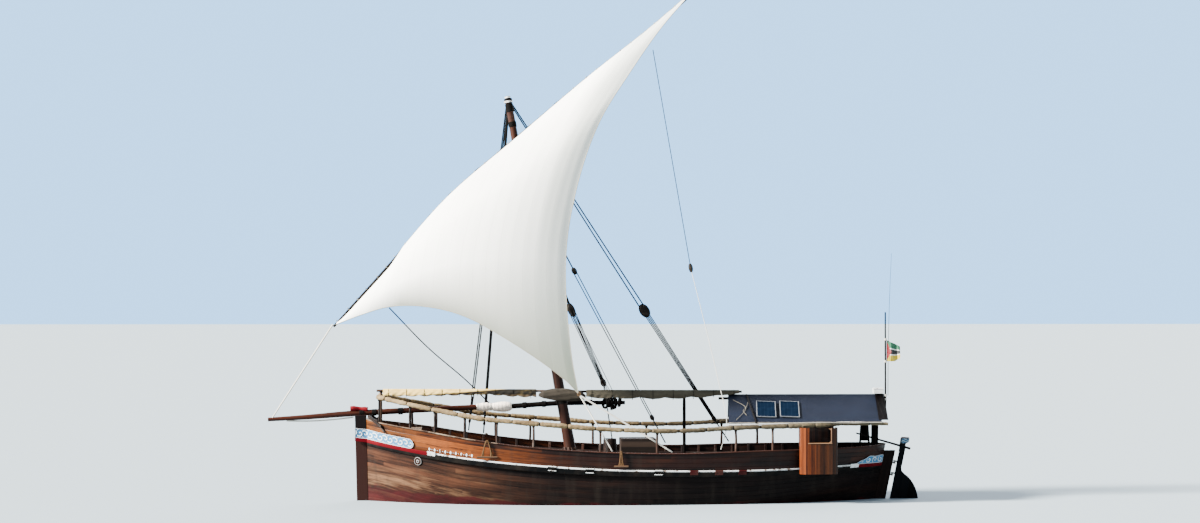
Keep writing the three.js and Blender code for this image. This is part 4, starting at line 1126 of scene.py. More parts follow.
# A round tube along a line, with a radius for each point and grain along it.
def tube(line, radii, sides, tone=0.5, lumps=0.0, seed=0):
    line = np.asarray(line, float)
    radii = np.broadcast_to(np.asarray(radii, float), len(line))
    along = np.gradient(line, axis=0)
    along /= np.linalg.norm(along, axis=1, keepdims=True)
    side = np.array([0.0, 1, 0]) if abs(along[0][1]) < 0.9 else np.array([1.0, 0, 0])
    chance = np.random.default_rng(seed)
    rings = []
    for point, way, radius in zip(line, along, radii):
        side = side - way * (side @ way)
        side /= np.linalg.norm(side)
        other = np.cross(way, side)
        angle = np.linspace(0, 2 * math.pi, sides, endpoint=False)
        reach = radius * (1 + lumps * chance.uniform(-1, 1, sides))
        rings.append(point + np.outer(np.cos(angle) * reach, side)
            + np.outer(np.sin(angle) * reach, other))
    return loft(rings, tone=lambda i, j, u: tone)


# A way made one long, and two more square to it and to each other.
def square_to(way):
    way = unit(way)
    side = unit(np.cross(way, (0.0, 1, 0) if abs(way[1]) < 0.9 else (1.0, 0, 0)))
    return way, side, np.cross(way, side)


# Round turns of rope, side by side, about a line: a lashing or a woolding.
def turns(centre, way, radius, thick, count, sides=16):
    way, side, other = square_to(way)
    steps = np.linspace(0, count * 2 * math.pi, count * sides + 1)
    rise = (steps / (2 * math.pi) - count / 2) * thick * 1.04
    line = (centre + np.outer(np.cos(steps), side) * (radius + thick / 2)
        + np.outer(np.sin(steps), other) * (radius + thick / 2) + np.outer(rise, way))
    return tube(line, thick / 2, 6)


ROPE_SHINE = 0.06


# Laid rope: strands wind round it, and it goes grey-brown with dirt.
def rope_finish(name, colour, dirt, pitch=0.05, soiling=0.5):
    made, tree, shader = open_finish(name)
    grain, spot = grain_of(tree), spot_of(tree)
    u, v, _ = parts_of(tree, grain)
    lay = calc(tree, "DIVIDE", calc(tree, "MULTIPLY_ADD", v, 0.8, u), pitch)
    strand = calc(tree, "PINGPONG", lay, 0.5)
    soil = noise(tree, spot, 3.0, 5, 0.6, 1.0)
    shade = blend_colours(tree, times(tree, ramp(tree, soil, 0.35, 0.7), soiling), (*colour, 1),
        (*dirt, 1))
    shade = blend_colours(tree, ramp(tree, strand, 0.16, 0.0), shade,
        tuple(c * 0.25 for c in dirt) + (1,))
    dress(tree, shader, shade, ramp(tree, soil, 0.3, 0.7, 0.7, 0.9), ROPE_SHINE,
        (strand, 0.8, 0.006))
    return made


mast_finish = timber_finish("mast_timber", (0.046, 0.0135, 0.0062), (0.0055, 0.002, 0.0014), 0.42,
    0.3, runs=0.45, bloom=0.02, coat=0.03, shine=0.1)
graded(mast_finish, 2, 5.5, 3.6, (0.62, 0.6, 0.62))
tarred_rope = rope_finish("tarred_rope", (0.004, 0.0032, 0.0027), (0.0016, 0.0013, 0.0012))
MAST_ROWS = ((1.75, 0.212), (3.0, 0.192), (6.0, 0.168), (10.0, 0.148), (13.0, 0.134),
    (14.39, 0.125))
levels = np.linspace(MAST_ROWS[0][0], MAST_ROWS[-1][0], 60)
radii = np.interp(levels, *np.array(MAST_ROWS).T)
trunk = tube([(mast_x(z), 0, z) for z in levels], radii, 24, lumps=0.012, seed=3)
make("mast_trunk", trunk, mast_finish, ["mast"], sharp=60)
RAKE = (MAST_RAKE, 0, 1)
HOUNDS = ((14.39, 0.127), (14.4, 0.15), (14.55, 0.148), (14.565, 0.1), (14.64, 0.092),
    (14.65, 0.05))
cap = tube([(mast_x(z), 0, z) for z, _ in HOUNDS], [r for _, r in HOUNDS], 20)
make("mast_head_cap", cap, tar_paint, sharp=40)
white_bands = [tube([(mast_x(z), 0, z) for z in (low, low + 0.006, high - 0.006, high)],
    [reach - 0.012, reach, reach, reach - 0.012], 24)
    for low, high, reach in ((14.41, 14.48, 0.16), (14.575, 14.635, 0.106))]
make("mast_white_bands", combine(white_bands), white_paint)
wooldings = [turns((mast_x(z), 0, z), RAKE, np.interp(z, *np.array(MAST_ROWS).T) * 1.01, 0.022, n)
    for z, n in ((3.55, 6), (5.3, 5), (8.2, 5), (10.55, 7), (11.4, 5), (13.62, 8), (14.22, 13))]
make("mast_wooldings", combine(wooldings), tarred_rope)


# Mast step
# A stout hardwood block on the deck beams takes the mast's heel. Ten driven wedges stand round
# the mast and hold it.
step_finish = timber_finish("step_timber", (0.07, 0.03, 0.016), (0.014, 0.006, 0.004))
eased_solid("mast_step_block", "mast_step", step_finish, 0.014, (1, 0, 0), (0, 1, 0))
wedges = []
for k in range(10):
    angle = k * 2 * math.pi / 10
    away = np.array([math.cos(angle), math.sin(angle), 0])
    foot = np.array([mast_x(1.8), 0, 1.745]) + away * 0.243
    wedges.append(timber_bar(foot, foot + np.array([0.022, 0, 0.16]) - away * 0.012, 0.085, 0.036,
        np.cross(away, (0, 0, 1)), 0.005, k / 10))
make("mast_wedges", combine(wedges), step_finish)


# Parrel
# A collar of three tarred rope turns goes round the mast and holds the yard to it. It is loose
# enough for the yard to swing.
PARREL_Z = 12.85
parrel = [turns((mast_x(PARREL_Z + rise), 0, PARREL_Z + rise), RAKE, 0.148, 0.044, 1, 28)
    for rise in (-0.05, 0.0, 0.05)]
make("parrel_ropes", combine(parrel), tarred_rope, ["parrel"])


# Sail
# One great three-cornered cloth, laced to the yard along its whole luff. It is sewn from
# narrow strips that run parallel to the leech, and has a rope sewn round its edge.
LUFF = ((10.49, 0.12, 6.4), (8.55, 0.21, 8.54), (6.4, 0.34, 10.98), (3.83, 0.51, 13.19),
    (1.35, 0.9, 15.29), (-0.83, 1.3, 17.01), (-2.48, 1.52, 18.42))
LEECH = ((-2.48, 1.52, 18.42), (-1.28, 1.56, 17.03), (-0.17, 1.6, 15.45), (1.01, 1.75, 13.51),
    (1.84, 1.9, 11.03), (2.19, 2.05, 8.66), (2.02, 2.15, 5.48), (1.75, 2.2, 3.92))
FOOT = ((10.49, 0.12, 6.33), (9.51, 0.42, 6.7), (8.49, 0.7, 6.99), (7.3, 1.08, 7.01),
    (5.84, 1.5, 6.67), (3.85, 1.93, 5.57), (2.22, 2.15, 4.4), (1.75, 2.2, 3.92))
SAIL_LONG, SAIL_WIDE = 130, 90
LUFF_CLEAR = 0.115
CLOTH_WIDTH = 0.62
luff_line, leech_line, foot_line = (smooth_line(edge, 400) for edge in (LUFF, LEECH, FOOT))


def on_line(line, share):
    index = np.asarray(share) * (len(line) - 1)
    return np.stack([np.interp(index, np.arange(len(line)), line[:, k]) for k in range(3)], -1)


# A place on the cloth: r from the tack to the leech, a from the luff to the foot.
def sail_point(r, a):
    high, low = on_line(luff_line, r), on_line(foot_line, r)
    tall = np.linalg.norm(low - high, axis=-1)
    clear = np.minimum(LUFF_CLEAR * np.clip((0.21 - r) / 0.05, 0, 1), tall * 0.4)
    high = high + clear[..., None] * (-0.74, 0, -0.67)
    spot = high + (low - high) * a[..., None]
    ends = luff_line[-1] + (foot_line[-1] - luff_line[-1]) * a[..., None]
    spot = spot + (on_line(leech_line, a) - ends) * (r ** 2)[..., None]
    belly = 0.62 * 4 * a * (1 - a) * np.sin(math.pi * r ** 1.2)
    girts = 0.018 * np.sin(r * 2 * math.pi * 26) * np.exp(-a * 22) * (1 - r * 0.5)
    hollows = 0.0016 * np.sin(r * math.pi * 2 * 16) * a * (1 - a) * 4
    flutter = 0.01 * np.sin(a * 21 + r * 9) * np.exp(-(1 - r) * 26) * np.minimum(a * 9, 1)
    spot[..., 1] += belly + girts + hollows + flutter
    return spot


r = np.linspace(0.0, 1.0, SAIL_LONG) ** 0.9 * 0.993 + 0.007
a = np.linspace(0, 1, SAIL_WIDE)
cloth_points = sail_point(*np.meshgrid(r, a, indexing="ij"))
CLOTH_DEEP = float(np.linalg.norm(np.diff(cloth_points, axis=1), axis=2).mean(0).sum())


# Threads that cross: so many radians a metre each way.
def woven(tree, u, v, fine):
    return times(tree, calc(tree, "SINE", times(tree, u, fine)),
        calc(tree, "SINE", times(tree, v, fine)))


sail_finish, tree, shader = open_finish("sailcloth")
grain, spot = grain_of(tree), spot_of(tree)
u, v, _ = parts_of(tree, grain)
x_along, _, z_up = parts_of(tree, spot)
strip = calc(tree, "DIVIDE", u, CLOTH_WIDTH)
part = calc(tree, "FRACT", strip)
own = random_of(tree, calc(tree, "FLOOR", strip))
lap = ramp(tree, part, 0.055, 0.045)
stitch = times(tree, calc(tree, "LESS_THAN", calc(tree, "FRACT", times(tree, v, 40.0)), 0.6),
    calc(tree, "LESS_THAN", calc(tree, "ABSOLUTE", calc(tree, "SUBTRACT", part, 0.05)), 0.006))
age = noise(tree, stretch(tree, spot, (0.35, 1, 0.22)), 1.0, 5, 0.6, 5.0)
stain = noise(tree, spot, 1.3, 6, 0.65, 8.0)
# Painted shade: the cloth is darkened to a greenish grey towards its low leech, in a band along the
# leech and along the foot, where the sail curves away from the light.
painted_low_leech_shade = times(tree, ramp(tree, x_along, 6.3, 2.2), ramp(tree, z_up, 14.0, 4.6))
painted_leech_shade = calc(tree, "MAXIMUM", painted_low_leech_shade, times(tree, ramp(tree, u, 9.2, 10.3), 0.55))
painted_foot_shade = times(tree, ramp(tree, v, 0.7 * CLOTH_DEEP, 0.99 * CLOTH_DEEP),
    ramp(tree, u, 1.6, 3.4))
shade = blend_colours(tree, ramp(tree, age, 0.35, 0.7, 0.0, 0.35), (0.93, 0.91, 0.86, 1),
    (0.87, 0.85, 0.78, 1))
for cover, colour in ((times(tree, painted_leech_shade, 0.9), (0.105, 0.145, 0.12, 1)),
                      (times(tree, painted_foot_shade, 0.85), (0.13, 0.14, 0.105, 1)),
                      (times(tree, own, 0.05), (0.6, 0.58, 0.52, 1)),
                      (ramp(tree, stain, 0.66, 0.8, 0.0, 0.28), (0.4, 0.33, 0.22, 1)),
                      (times(tree, lap, 0.07), (0.42, 0.42, 0.38, 1)),
                      (times(tree, stitch, 0.5), (0.2, 0.16, 0.11, 1))):
    shade = blend_colours(tree, cover, shade, colour)
shader.inputs["Sheen Weight"].default_value = 0.1
weave = woven(tree, u, v, 2400.0)
height = calc(tree, "MULTIPLY_ADD", lap, 0.2, calc(tree, "MULTIPLY_ADD", weave, 0.15, stain))
dress(tree, shader, shade, ramp(tree, stain, 0.3, 0.7, 0.78, 0.9), 0.25, (height, 0.5, 0.005))

sail_shape = loft(cloth_points, closed=False)
make("sail_cloth", sail_shape, sail_finish, ["sail"], "yard_and_sail", sharp=180)

# The bolt rope is darker than its rope alone would be: partly its own colour, partly painted shade for
# the dark line along the sail's foot.
bolt_rope_and_shade = rope_finish("bolt_rope_and_shade", (0.3, 0.28, 0.22), (0.11, 0.09, 0.062), 0.03)
share = np.linspace(0.0, 1.0, 120)
edges = [tube(sail_point(0.007 + 0.993 * share, share * 0), 0.009, 6),
    tube(sail_point(0.007 + 0.993 * share, share ** 0), 0.014, 6),
    tube(sail_point(share ** 0, share), 0.014, 6)]
make("sail_bolt_rope", combine(edges), bolt_rope_and_shade, body="yard_and_sail")


# Yard
# Two long poles scarfed together at the middle, wound round with rope, thin at the ends and
# thick where the parrel holds it. It is as long as the boat.
YARD_OFFSET = np.array([-0.052, -0.155, -0.046])
YARD_RADII = (0.042, 0.062, 0.084, 0.1, 0.092, 0.07, 0.04)
yard_points = np.array(LUFF) + YARD_OFFSET
heel = yard_points[0] + (luff_line[0] - luff_line[12]) * (0.11
    / np.linalg.norm(luff_line[0] - luff_line[12]))
yard_line = smooth_line([heel, *yard_points], 150)
shares = np.linspace(0, 1, 7)
radii = np.interp(np.linspace(0, 1, 150), shares, YARD_RADII)
yard_finish = timber_finish("yard_timber", (0.005, 0.0031, 0.0025), (0.0012, 0.0009, 0.0008), 0.5,
    runs=0.2, shine=0.03)
spar = tube(yard_line, radii, 16, lumps=0.02, seed=8)
make("yard_spar", spar, yard_finish, ["yard"], "yard_and_sail", sharp=60)
bindings = []
for at, count in ((0.3, 7), (0.36, 7), (0.43, 9), (0.5, 12), (0.57, 9), (0.64, 7), (0.72, 6)):
    k = int(at * 149)
    bindings.append(turns(yard_line[k], yard_line[k + 1] - yard_line[k - 1], radii[k], 0.02, count))
make("yard_wooldings", combine(bindings), tarred_rope, body="yard_and_sail")
robands = []
for at in np.linspace(0.02, 0.98, 34):
    k = int(at * 149)
    k = min(max(k, 1), 148)
    near = luff_line[np.argmin(np.linalg.norm(luff_line - yard_line[k], axis=1))]
    way = unit(yard_line[k + 1] - yard_line[k - 1])
    toward = near - yard_line[k]
    toward -= way * (toward @ way)
    span = np.linalg.norm(toward)
    toward /= span
    other = np.cross(way, toward)
    angle = np.linspace(0, 2 * math.pi, 17)
    reach = (span + radii[k] + 0.03) / 2
    middle = yard_line[k] + toward * (span - radii[k] + 0.01) / 2
    loop = (middle + np.outer(np.cos(angle) * reach, toward)
        + np.outer(np.sin(angle) * (radii[k] + 0.012), other))
    robands.append(tube(loop, 0.009, 5))
make("sail_robands", combine(robands), bolt_rope_and_shade, body="yard_and_sail")


# Bowsprit
# A long red-brown pole runs out over the stem from the foredeck, and a nearly black spare spar
# is lashed to it and runs aft past the mast. White rope hangs along under its fore part.
BOWSPRIT = ((12.87, -0.06, 2.925), (11.5, -0.11, 3.005), (9.74, -0.21, 3.135), (4.13, -0.33, 3.4))
SPARE_SPAR = ((4.1, -0.33, 3.375), (2.39, -0.345, 3.48), (-0.06, -0.345, 3.5))
sprit_finish = timber_finish("bowsprit_timber", (0.042, 0.0085, 0.0027), (0.0062, 0.0016, 0.0008),
    0.45, 0.3, runs=0.15, bloom=0.02, shine=0.1)
dark_spar = timber_finish("dark_spar_timber", (0.0032, 0.0022, 0.0018), (0.0009, 0.0007, 0.0006),
    0.6, bloom=0.0, shine=0.03)
sprit_line = smooth_line(BOWSPRIT, 70)
radii = np.interp(np.linspace(0, 1, 70), (0, 0.156, 0.27, 0.357, 1),
    (0.07, 0.088, 0.102, 0.107, 0.095))
make("bowsprit_spar", tube(sprit_line, radii, 16, lumps=0.02, seed=4), sprit_finish, ["bowsprit"],
    sharp=60)
spare_line = smooth_line(SPARE_SPAR, 50)
radii = np.interp(np.linspace(0, 1, 50), (0, 0.41, 1), (0.095, 0.092, 0.07))
make("spare_spar_timber", tube(spare_line, radii, 16, lumps=0.02, seed=5), dark_spar,
    ["spare_spar"], sharp=60)
white_rope = rope_finish("white_rope", (0.6, 0.58, 0.52), (0.25, 0.2, 0.14), 0.04, 0.3)
under = [(12.2, -0.075, 2.872), (11.4, -0.11, 2.862), (10.6, -0.15, 2.905), (9.8, -0.2, 2.99)]
make("sprit_rope", tube(smooth_line(under, 40), 0.028, 8), white_rope)
gammoning = [turns((x, -0.2 - (9.6 - x) * 0.02, 3.14 + (9.6 - x) * 0.047), (1, 0, -0.05), 0.099,
    0.03, 5) for x in (9.5, 9.05, 8.1)]
splice = [turns((x, -0.33, z), (1, 0, -0.03), 0.099, 0.022, 6)
    for x, z in ((3.6, 3.41), (2.9, 3.455), (1.2, 3.495), (0.5, 3.5))]
make("sprit_lashings", combine(gammoning + splice), tarred_rope)


# Spar padding
# Old sailcloth is wound and tied round the bowsprit's butt against chafe. It is fat at its
# after end and slack between the ties. A roll of red cloth lies on the spar further forward.
WEAVE = 900.0


def cloth_finish(name, colour, shade_colour, dirt, folds=0.5, soil=(0.1, 0.075, 0.05), shine=0.1):
    made, tree, shader = open_finish(name)
    grain, spot = grain_of(tree), spot_of(tree)
    u, v, _ = parts_of(tree, grain)
    threads = woven(tree, u, v, WEAVE)
    faded = noise(tree, stretch(tree, spot, (0.8, 1.5, 2.5)), 1.0, 5, 0.6, 2.0)
    creased = noise(tree, stretch(tree, grain, (1.2, 6, 1)), 1.0, 5, 0.65, 4.0)
    shade = blend_colours(tree, ramp(tree, faded, 0.35, 0.68), (*shade_colour, 1), (*colour, 1))
    shade = blend_colours(tree, times(tree, ramp(tree, creased, 0.55, 0.78), dirt), shade,
        (*soil, 1))
    shade = blend_colours(tree, ramp(tree, threads, -1, 1, 0.0, 0.12), shade,
        tuple(c * 0.5 for c in shade_colour) + (1,))
    height = calc(tree, "MULTIPLY_ADD", threads, 0.12, times(tree, creased, folds))
    dress(tree, shader, shade, 0.85, shine, (height, 0.6, 0.02))
    return made


padding_finish = cloth_finish("padding_canvas", (0.94, 0.87, 0.78), (0.82, 0.7, 0.58), 0.25,
    soil=(0.35, 0.27, 0.2))
PADDING = ((5.36, 0.11), (5.26, 0.135), (5.1, 0.155), (4.95, 0.15), (4.86, 0.13), (4.8, 0.126),
    (4.72, 0.145), (4.52, 0.18), (4.36, 0.19), (4.22, 0.175), (4.12, 0.14), (4.07, 0.108))
xs = np.linspace(PADDING[0][0], PADDING[-1][0], 60)
swell = np.interp(-xs, [-x for x, _ in PADDING], [size for _, size in PADDING])
swell = swell + 0.004 * np.sin(xs * 47) + 0.003 * np.sin(xs * 91)


# The middle of the bowsprit's butt.
def butt_at(x):
    return x, -0.327, 3.348 + (5.3 - x) * 0.012


wrapped = tube([butt_at(x) for x in xs], swell, 28, lumps=0.03, seed=12)
piece = make("padding_wrap", wrapped, padding_finish, ["spar_padding"],
    sharp=80)
ties = [turns(butt_at(x), (1, 0, 0), size, 0.014, 4)
    for x, size in ((5.29, 0.126), (4.83, 0.128), (4.15, 0.146))]
make("padding_ties", combine(ties), white_rope)
red_cloth = cloth_finish("red_cloth", (0.19, 0.003, 0.008), (0.07, 0.002, 0.004), 0.3,
    soil=(0.02, 0.002, 0.003))
roll = tube(smooth_line([(9.92, -0.18, 3.31), (9.75, -0.19, 3.315), (9.55, -0.2, 3.3),
    (9.28, -0.21, 3.27)], 30), 0.08 + 0.012 * np.sin(np.linspace(0, 9, 30)), 16, lumps=0.06, seed=6)
piece = make("red_bundle", roll, red_cloth, sharp=80)


# Cathead
# A short raking timber over each bow, with a stout bracket under it, that the anchor hangs
# from. Both are dark hardwood fastened to the cap rail.
cathead_finish = timber_finish("cathead_timber", (0.012, 0.006, 0.0045), (0.0025, 0.0014, 0.0011),
    shine=0.06)
cathead = [timber_bar((9.22, 0.62, 3.06), (8.74, 1.08, 2.72), 0.1, 0.09, (0.6, 0.8, 0), 0.01, 0.4),
    timber_bar((8.95, 0.86, 2.96), (8.62, 1.16, 2.5), 0.07, 0.06, (0.6, 0.8, 0), 0.01, 0.7)]
both_sides("cathead", combine(cathead), cathead_finish)


# Side rails
# A pole on stanchions runs down each side at chest height. Old canvas is wound round it and
# tied every metre or so, with a paler pipe beside it along the shelter.
RAIL_ROUTE = ((8.9, 0.8, 3.76), (7.68, 1.64, 3.51), (6.71, 2.08, 3.32), (5.23, 2.4, 3.05),
              (4.0, 2.54, 2.93), (2.59, 2.68, 2.82), (1.01, 2.73, 2.69), (-1.75, 2.71, 2.61),
              (-3.72, 2.52, 2.7), (-5.91, 2.33, 2.76), (-7.5, 2.26, 2.81), (-9.29, 2.25, 2.82))
RAIL_POSTS = (8.82, 7.7, 6.85, 5.77, 4.63, 3.33, 0.99, -1.0, -3.79, -5.16)
rail_cloth = cloth_finish("rail_canvas", (0.22, 0.155, 0.078), (0.09, 0.058, 0.028), 0.65,
    soil=(0.014, 0.01, 0.006))
graded(rail_cloth, 0, 1.5, -2.5, (0.42, 0.48, 0.58))
rail_line = smooth_line(RAIL_ROUTE, 420)
chance = np.random.default_rng(17)
bulge = np.convolve(chance.normal(0, 1, 440), np.ones(9) / 9, "same")[10:430]
swell = np.clip(0.086 + 0.016 * bulge, 0.068, 0.104)
swell *= np.interp(rail_line[:, 0], (-7.6, -6.9), (0.55, 1.0))
TIE_STEP = 22
for k in range(8, 420, TIE_STEP):
    swell[k - 1:k + 2] *= (0.85, 0.7, 0.85)
rail = tube(rail_line, swell, 14, lumps=0.13, seed=18)
both_sides("rail_wrap", rail, rail_cloth, ["side_rail"])
tie_shapes = [turns(rail_line[k], rail_line[k + 1] - rail_line[k - 1], swell[k], 0.012, 3, 12)
    for k in range(8, 418, TIE_STEP)]
both_sides("rail_ties", combine(tie_shapes), tarred_rope)
stanchions, feet = [], []
for n, x in enumerate(RAIL_POSTS):
    head = rail_line[np.argmin(abs(rail_line[:, 0] - x))]
    at = fraction_at(x, 2.2)
    foot = np.array([head[0], fair("rail_y", table_x(at)) - 0.04,
        fair("rail_z", table_x(at)) - 0.03])
    top = head + (0, -0.004, -0.03)
    line = smooth_line([foot, (foot + top) / 2 + (0.012 * math.sin(n * 2.1), 0, 0), top], 12)
    stanchions.append(tube(line, np.linspace(0.047, 0.04, 12), 10, n / 10, lumps=0.05, seed=n))
    feet.append(turns(top - (0, 0, 0.07), (0, 0, 1), 0.042, 0.014, 4, 12))
stanchion_finish = timber_finish("stanchion_timber", (0.024, 0.011, 0.007), (0.004, 0.0022, 0.0016),
    shine=0.08)
both_sides("rail_stanchions", combine(stanchions), stanchion_finish)
both_sides("stanchion_lashings", combine(feet), tarred_rope)
pipe_finish = painted_finish("pale_pipe", (0.36, 0.35, 0.32), (0.08, 0.04, 0.03), 0.2, 0.4, 9.0)
pipe = smooth_line([(-3.55, 2.49, 2.795), (-5.9, 2.32, 2.85), (-7.5, 2.26, 2.885),
    (-9.25, 2.245, 2.88)], 60)
both_sides("rail_pipe", tube(pipe, 0.024, 10), pipe_finish)


# Awning poles
# Two poles stand end to end on the centreline, from a post in the bow past the mast to the
# shelter. A dark post under the after pole stands on the deck.
POLE_R, AWNING_Y = 0.045, 0.33
FORE_POLE = np.array([(8.96, 0, 3.96), (2.33, AWNING_Y, 3.95)])
AFT_POLE = np.array([(2.27, AWNING_Y, 3.93), (-4.3, 0, 3.9)])
pole_finish = timber_finish("pole_timber", (0.055, 0.028, 0.015), (0.01, 0.0048, 0.003), 0.6,
    shine=0.1)
fore = [tube(smooth_line(FORE_POLE, 40), 0.043, 12, lumps=0.05, seed=20),
    tube([(8.8, 0, z) for z in np.linspace(2.56, 3.95, 12)], 0.048, 12, lumps=0.04, seed=21)]
make("fore_pole_timber", combine(fore), pole_finish, ["awning_fore_pole"])
aft = [tube(smooth_line(AFT_POLE, 40), 0.043, 12, lumps=0.05, seed=22),
    tube([(-2.19, 0.105, z) for z in np.linspace(1.21, 3.87, 16)],
    np.interp(np.linspace(1.21, 3.87, 16), (3.6, 3.87), (0.06, 0.038)), 12, lumps=0.03)]
make("aft_pole_timber", combine(aft), dark_spar, ["awning_aft_pole"])
knots = [turns((8.8, 0, 3.93), (0, 0, 1), 0.05, 0.016, 4),
    turns((2.28, 0.33, 3.93), (1, 0, 0), 0.047, 0.018, 8)]
make("pole_lashings", combine(knots), tarred_rope)


# Folded awnings
# The sun awnings are furled over their poles in long folds. The fore one is pale canvas with
# a scalloped lower edge, darkened aft by painted shade, and the after one is grey-brown.
def fold_at(pole, rows, t, lift):
    shares, *sizes = np.array(rows).T
    crest = pole[0] + (pole[1] - pole[0]) * t + (0, 0, POLE_R + lift)
    return crest, *(np.interp(t, shares, size) for size in sizes)


def folded_awning(pole, rows, steps, scallops, seed):
    chance = np.random.default_rng(seed)
    wander = np.convolve(chance.normal(0, 1, steps + 20), np.ones(7) / 7, "same")[10:-10]
    lines = []
    for n, t in enumerate(np.linspace(rows[0][0], rows[-1][0], steps)):
        crest, half, drop = fold_at(pole, rows, t, 0.022)
        swing = abs(math.sin(math.pi * t * scallops))
        line = []
        for b in np.linspace(-1, 1, 25):
            size = abs(b)
            y = np.sign(b) * np.interp(size, (0, 0.16, 0.5, 1), (0, 0.055, half * 0.85, half))
            fall = np.interp(size, (0, 0.1, 0.2, 1),
                (0, 0.008, 0.055, drop * (0.76 + 0.16 * swing)))
            fold = 0.01 * math.sin(n * 0.9 + b * 7) * size + 0.012 * wander[n] * size
            line.append(crest + (0, y + fold, -fall + 0.01 * wander[n] * size))
        lines.append(line)
    return loft(np.array(lines), closed=False)


FORE_FOLDS = ((0.035, 0.11, 0.27), (0.2, 0.13, 0.3), (0.45, 0.12, 0.26), (0.6, 0.11, 0.23),
    (0.8, 0.13, 0.33), (0.87, 0.13, 0.33))
AFT_FOLDS = ((0.135, 0.15, 0.33), (0.342, 0.16, 0.35), (0.541, 0.16, 0.37), (0.658, 0.15, 0.35),
    (0.775, 0.14, 0.31), (0.888, 0.11, 0.23), (0.985, 0.1, 0.15))
fore_cloth, tree, shader = open_finish("fore_awning_canvas")
spot = spot_of(tree)
x_along, _, z_up = parts_of(tree, spot)
worn = noise(tree, stretch(tree, spot, (0.9, 2, 3)), 1.0, 5, 0.65, 2.0)
creased = noise(tree, stretch(tree, spot, (1.4, 6, 9)), 1.0, 5, 0.6, 4.0)
pale = blend_colours(tree, ramp(tree, worn, 0.35, 0.65), (0.42, 0.27, 0.07, 1),
    (0.74, 0.54, 0.19, 1))
# Painted shade: the canvas goes near black aft. The line between lit and shaded slants, so that its
# lower folds go dark further forward than its crest.
dark = blend_colours(tree, ramp(tree, worn, 0.35, 0.65), (0.004, 0.0036, 0.003, 1),
    (0.012, 0.0108, 0.009, 1))
slanted = calc(tree, "MULTIPLY_ADD", calc(tree, "SUBTRACT", z_up, 3.89), 13.0, x_along)
where = plus(tree, ramp(tree, slanted, 6.5, 5.8), ramp(tree, worn, 0.3, 0.7, -0.2, 0.2))
where = clamped(tree, where)
hem = times(tree, ramp(tree, z_up, 3.835, 3.795), ramp(tree, creased, 0.35, 0.6, 0.35, 0.9))
shade = blend_colours(tree, where, pale, dark)
shade = blend_colours(tree, hem, shade, (0.05, 0.035, 0.022, 1))
dress(tree, shader, shade, 0.9, 0.04, (creased, 0.7, 0.03))
grey_cloth = cloth_finish("grey_awning_canvas", (0.076, 0.065, 0.045), (0.036, 0.03, 0.021), 0.4,
    soil=(0.014, 0.012, 0.009))
piece = make("fore_awning_cloth", folded_awning(FORE_POLE, FORE_FOLDS, 150, 13, 30), fore_cloth,
    ["awning_fore"], sharp=180)
piece = make("aft_awning_cloth", folded_awning(AFT_POLE, AFT_FOLDS, 150, 7, 31), grey_cloth,
    ["awning_aft"], sharp=180)
gaskets = []
for pole, rows, count in ((FORE_POLE, FORE_FOLDS, 9), (AFT_POLE, AFT_FOLDS, 8)):
    for t in np.linspace(rows[0][0] + 0.03, rows[-1][0] - 0.03, count):
        crest, half, drop = fold_at(pole, rows, t, 0.024)
        loop = [crest + (0, y * half, -z * drop) for y, z in ((0, 0), (0.5, 0.13), (0.93, 0.55),
            (1.05, 0.9), (0.5, 1.0), (0, 1.02), (-0.5, 1.0), (-1.05, 0.9), (-0.93, 0.55),
            (-0.5, 0.13), (0, 0))]
        gaskets.append(tube(smooth_line(loop, 44), 0.008, 6))
make("awning_gaskets", combine(gaskets), tarred_rope)


# Mast cover
# A dark tarpaulin is thrown over the bundled awning beside the mast. It is gathered at its
# two ends and hangs in ripples down both sides.
COVER = ((3.12, 0.06), (2.95, 0.19), (2.5, 0.28), (2.0, 0.29), (1.6, 0.23), (1.42, 0.09))
tarpaulin = cloth_finish("dark_tarpaulin", (0.03, 0.0245, 0.018), (0.01, 0.008, 0.006), 0.5,
    folds=0.9, soil=(0.004, 0.003, 0.0025))
rings = []
for x in np.linspace(3.12, 1.42, 70):
    size = np.interp(-x, [-c[0] for c in COVER], [c[1] for c in COVER])
    centre = np.array([x, AWNING_Y + 0.33, 3.76 + (x - 2.25) * 0.05])
    ring = []
    for k in range(37):
        angle = math.radians(-122 + 244 * k / 36) + math.pi / 2
        ripple = 1 + 0.035 * math.sin(angle * 9 + x * 5) + 0.025 * math.sin(angle * 4 - x * 11)
        ring.append(centre + (0, 0.75 * size * math.cos(angle) * ripple,
            size * math.sin(angle) * ripple))
    rings.append(ring)
piece = make("mast_cover_cloth", loft(np.array(rings), closed=False), tarpaulin, ["mast_cover"],
    sharp=180)


# Shelter frame
# A ridge pole, three pairs of rafters and two posts on the stern's cap rail hold the roof up.
# They are thin, dark poles with the bark off, a little knotty.
RIDGE_Z, RIDGE_R, ROOF_SKEW = 3.66, 0.05, 0.094
ROOF_FORE, ROOF_AFT, ROOF_HALF, ROOF_DROP = -3.8, -9.28, 2.33, 0.91
RAFTERS = (-4.0, -6.5, -8.8)


def roof_z(y):
    return RIDGE_Z + RIDGE_R + 0.07 - ROOF_DROP * np.abs(y) / ROOF_HALF


frame_poles = [tube(smooth_line([(-3.45, 0, RIDGE_Z), (-9.6, 0, RIDGE_Z)], 50), 0.049, 12,
    lumps=0.04, seed=40)]
for n, x in enumerate(RAFTERS):
    for y in (2.17, -2.17):
        ends = (x, 0, RIDGE_Z), (x + ROOF_SKEW * y, y, roof_z(y) - 0.048)
        frame_poles.append(tube(smooth_line(ends, 20), 0.031, 10, n / 3, 0.05, 41 + n))
for y_foot, y in ((1.04, 1.21), (-1.04, -1.21)):
    ends = (-8.8, y_foot, 1.99), (-8.8 + ROOF_SKEW * y, y, roof_z(y) - 0.06)
    frame_poles.append(tube(smooth_line(ends, 20), 0.039, 10, 0.3, 0.05, 50))
make("shelter_poles", combine(frame_poles), dark_spar, ["shelter_frame"])


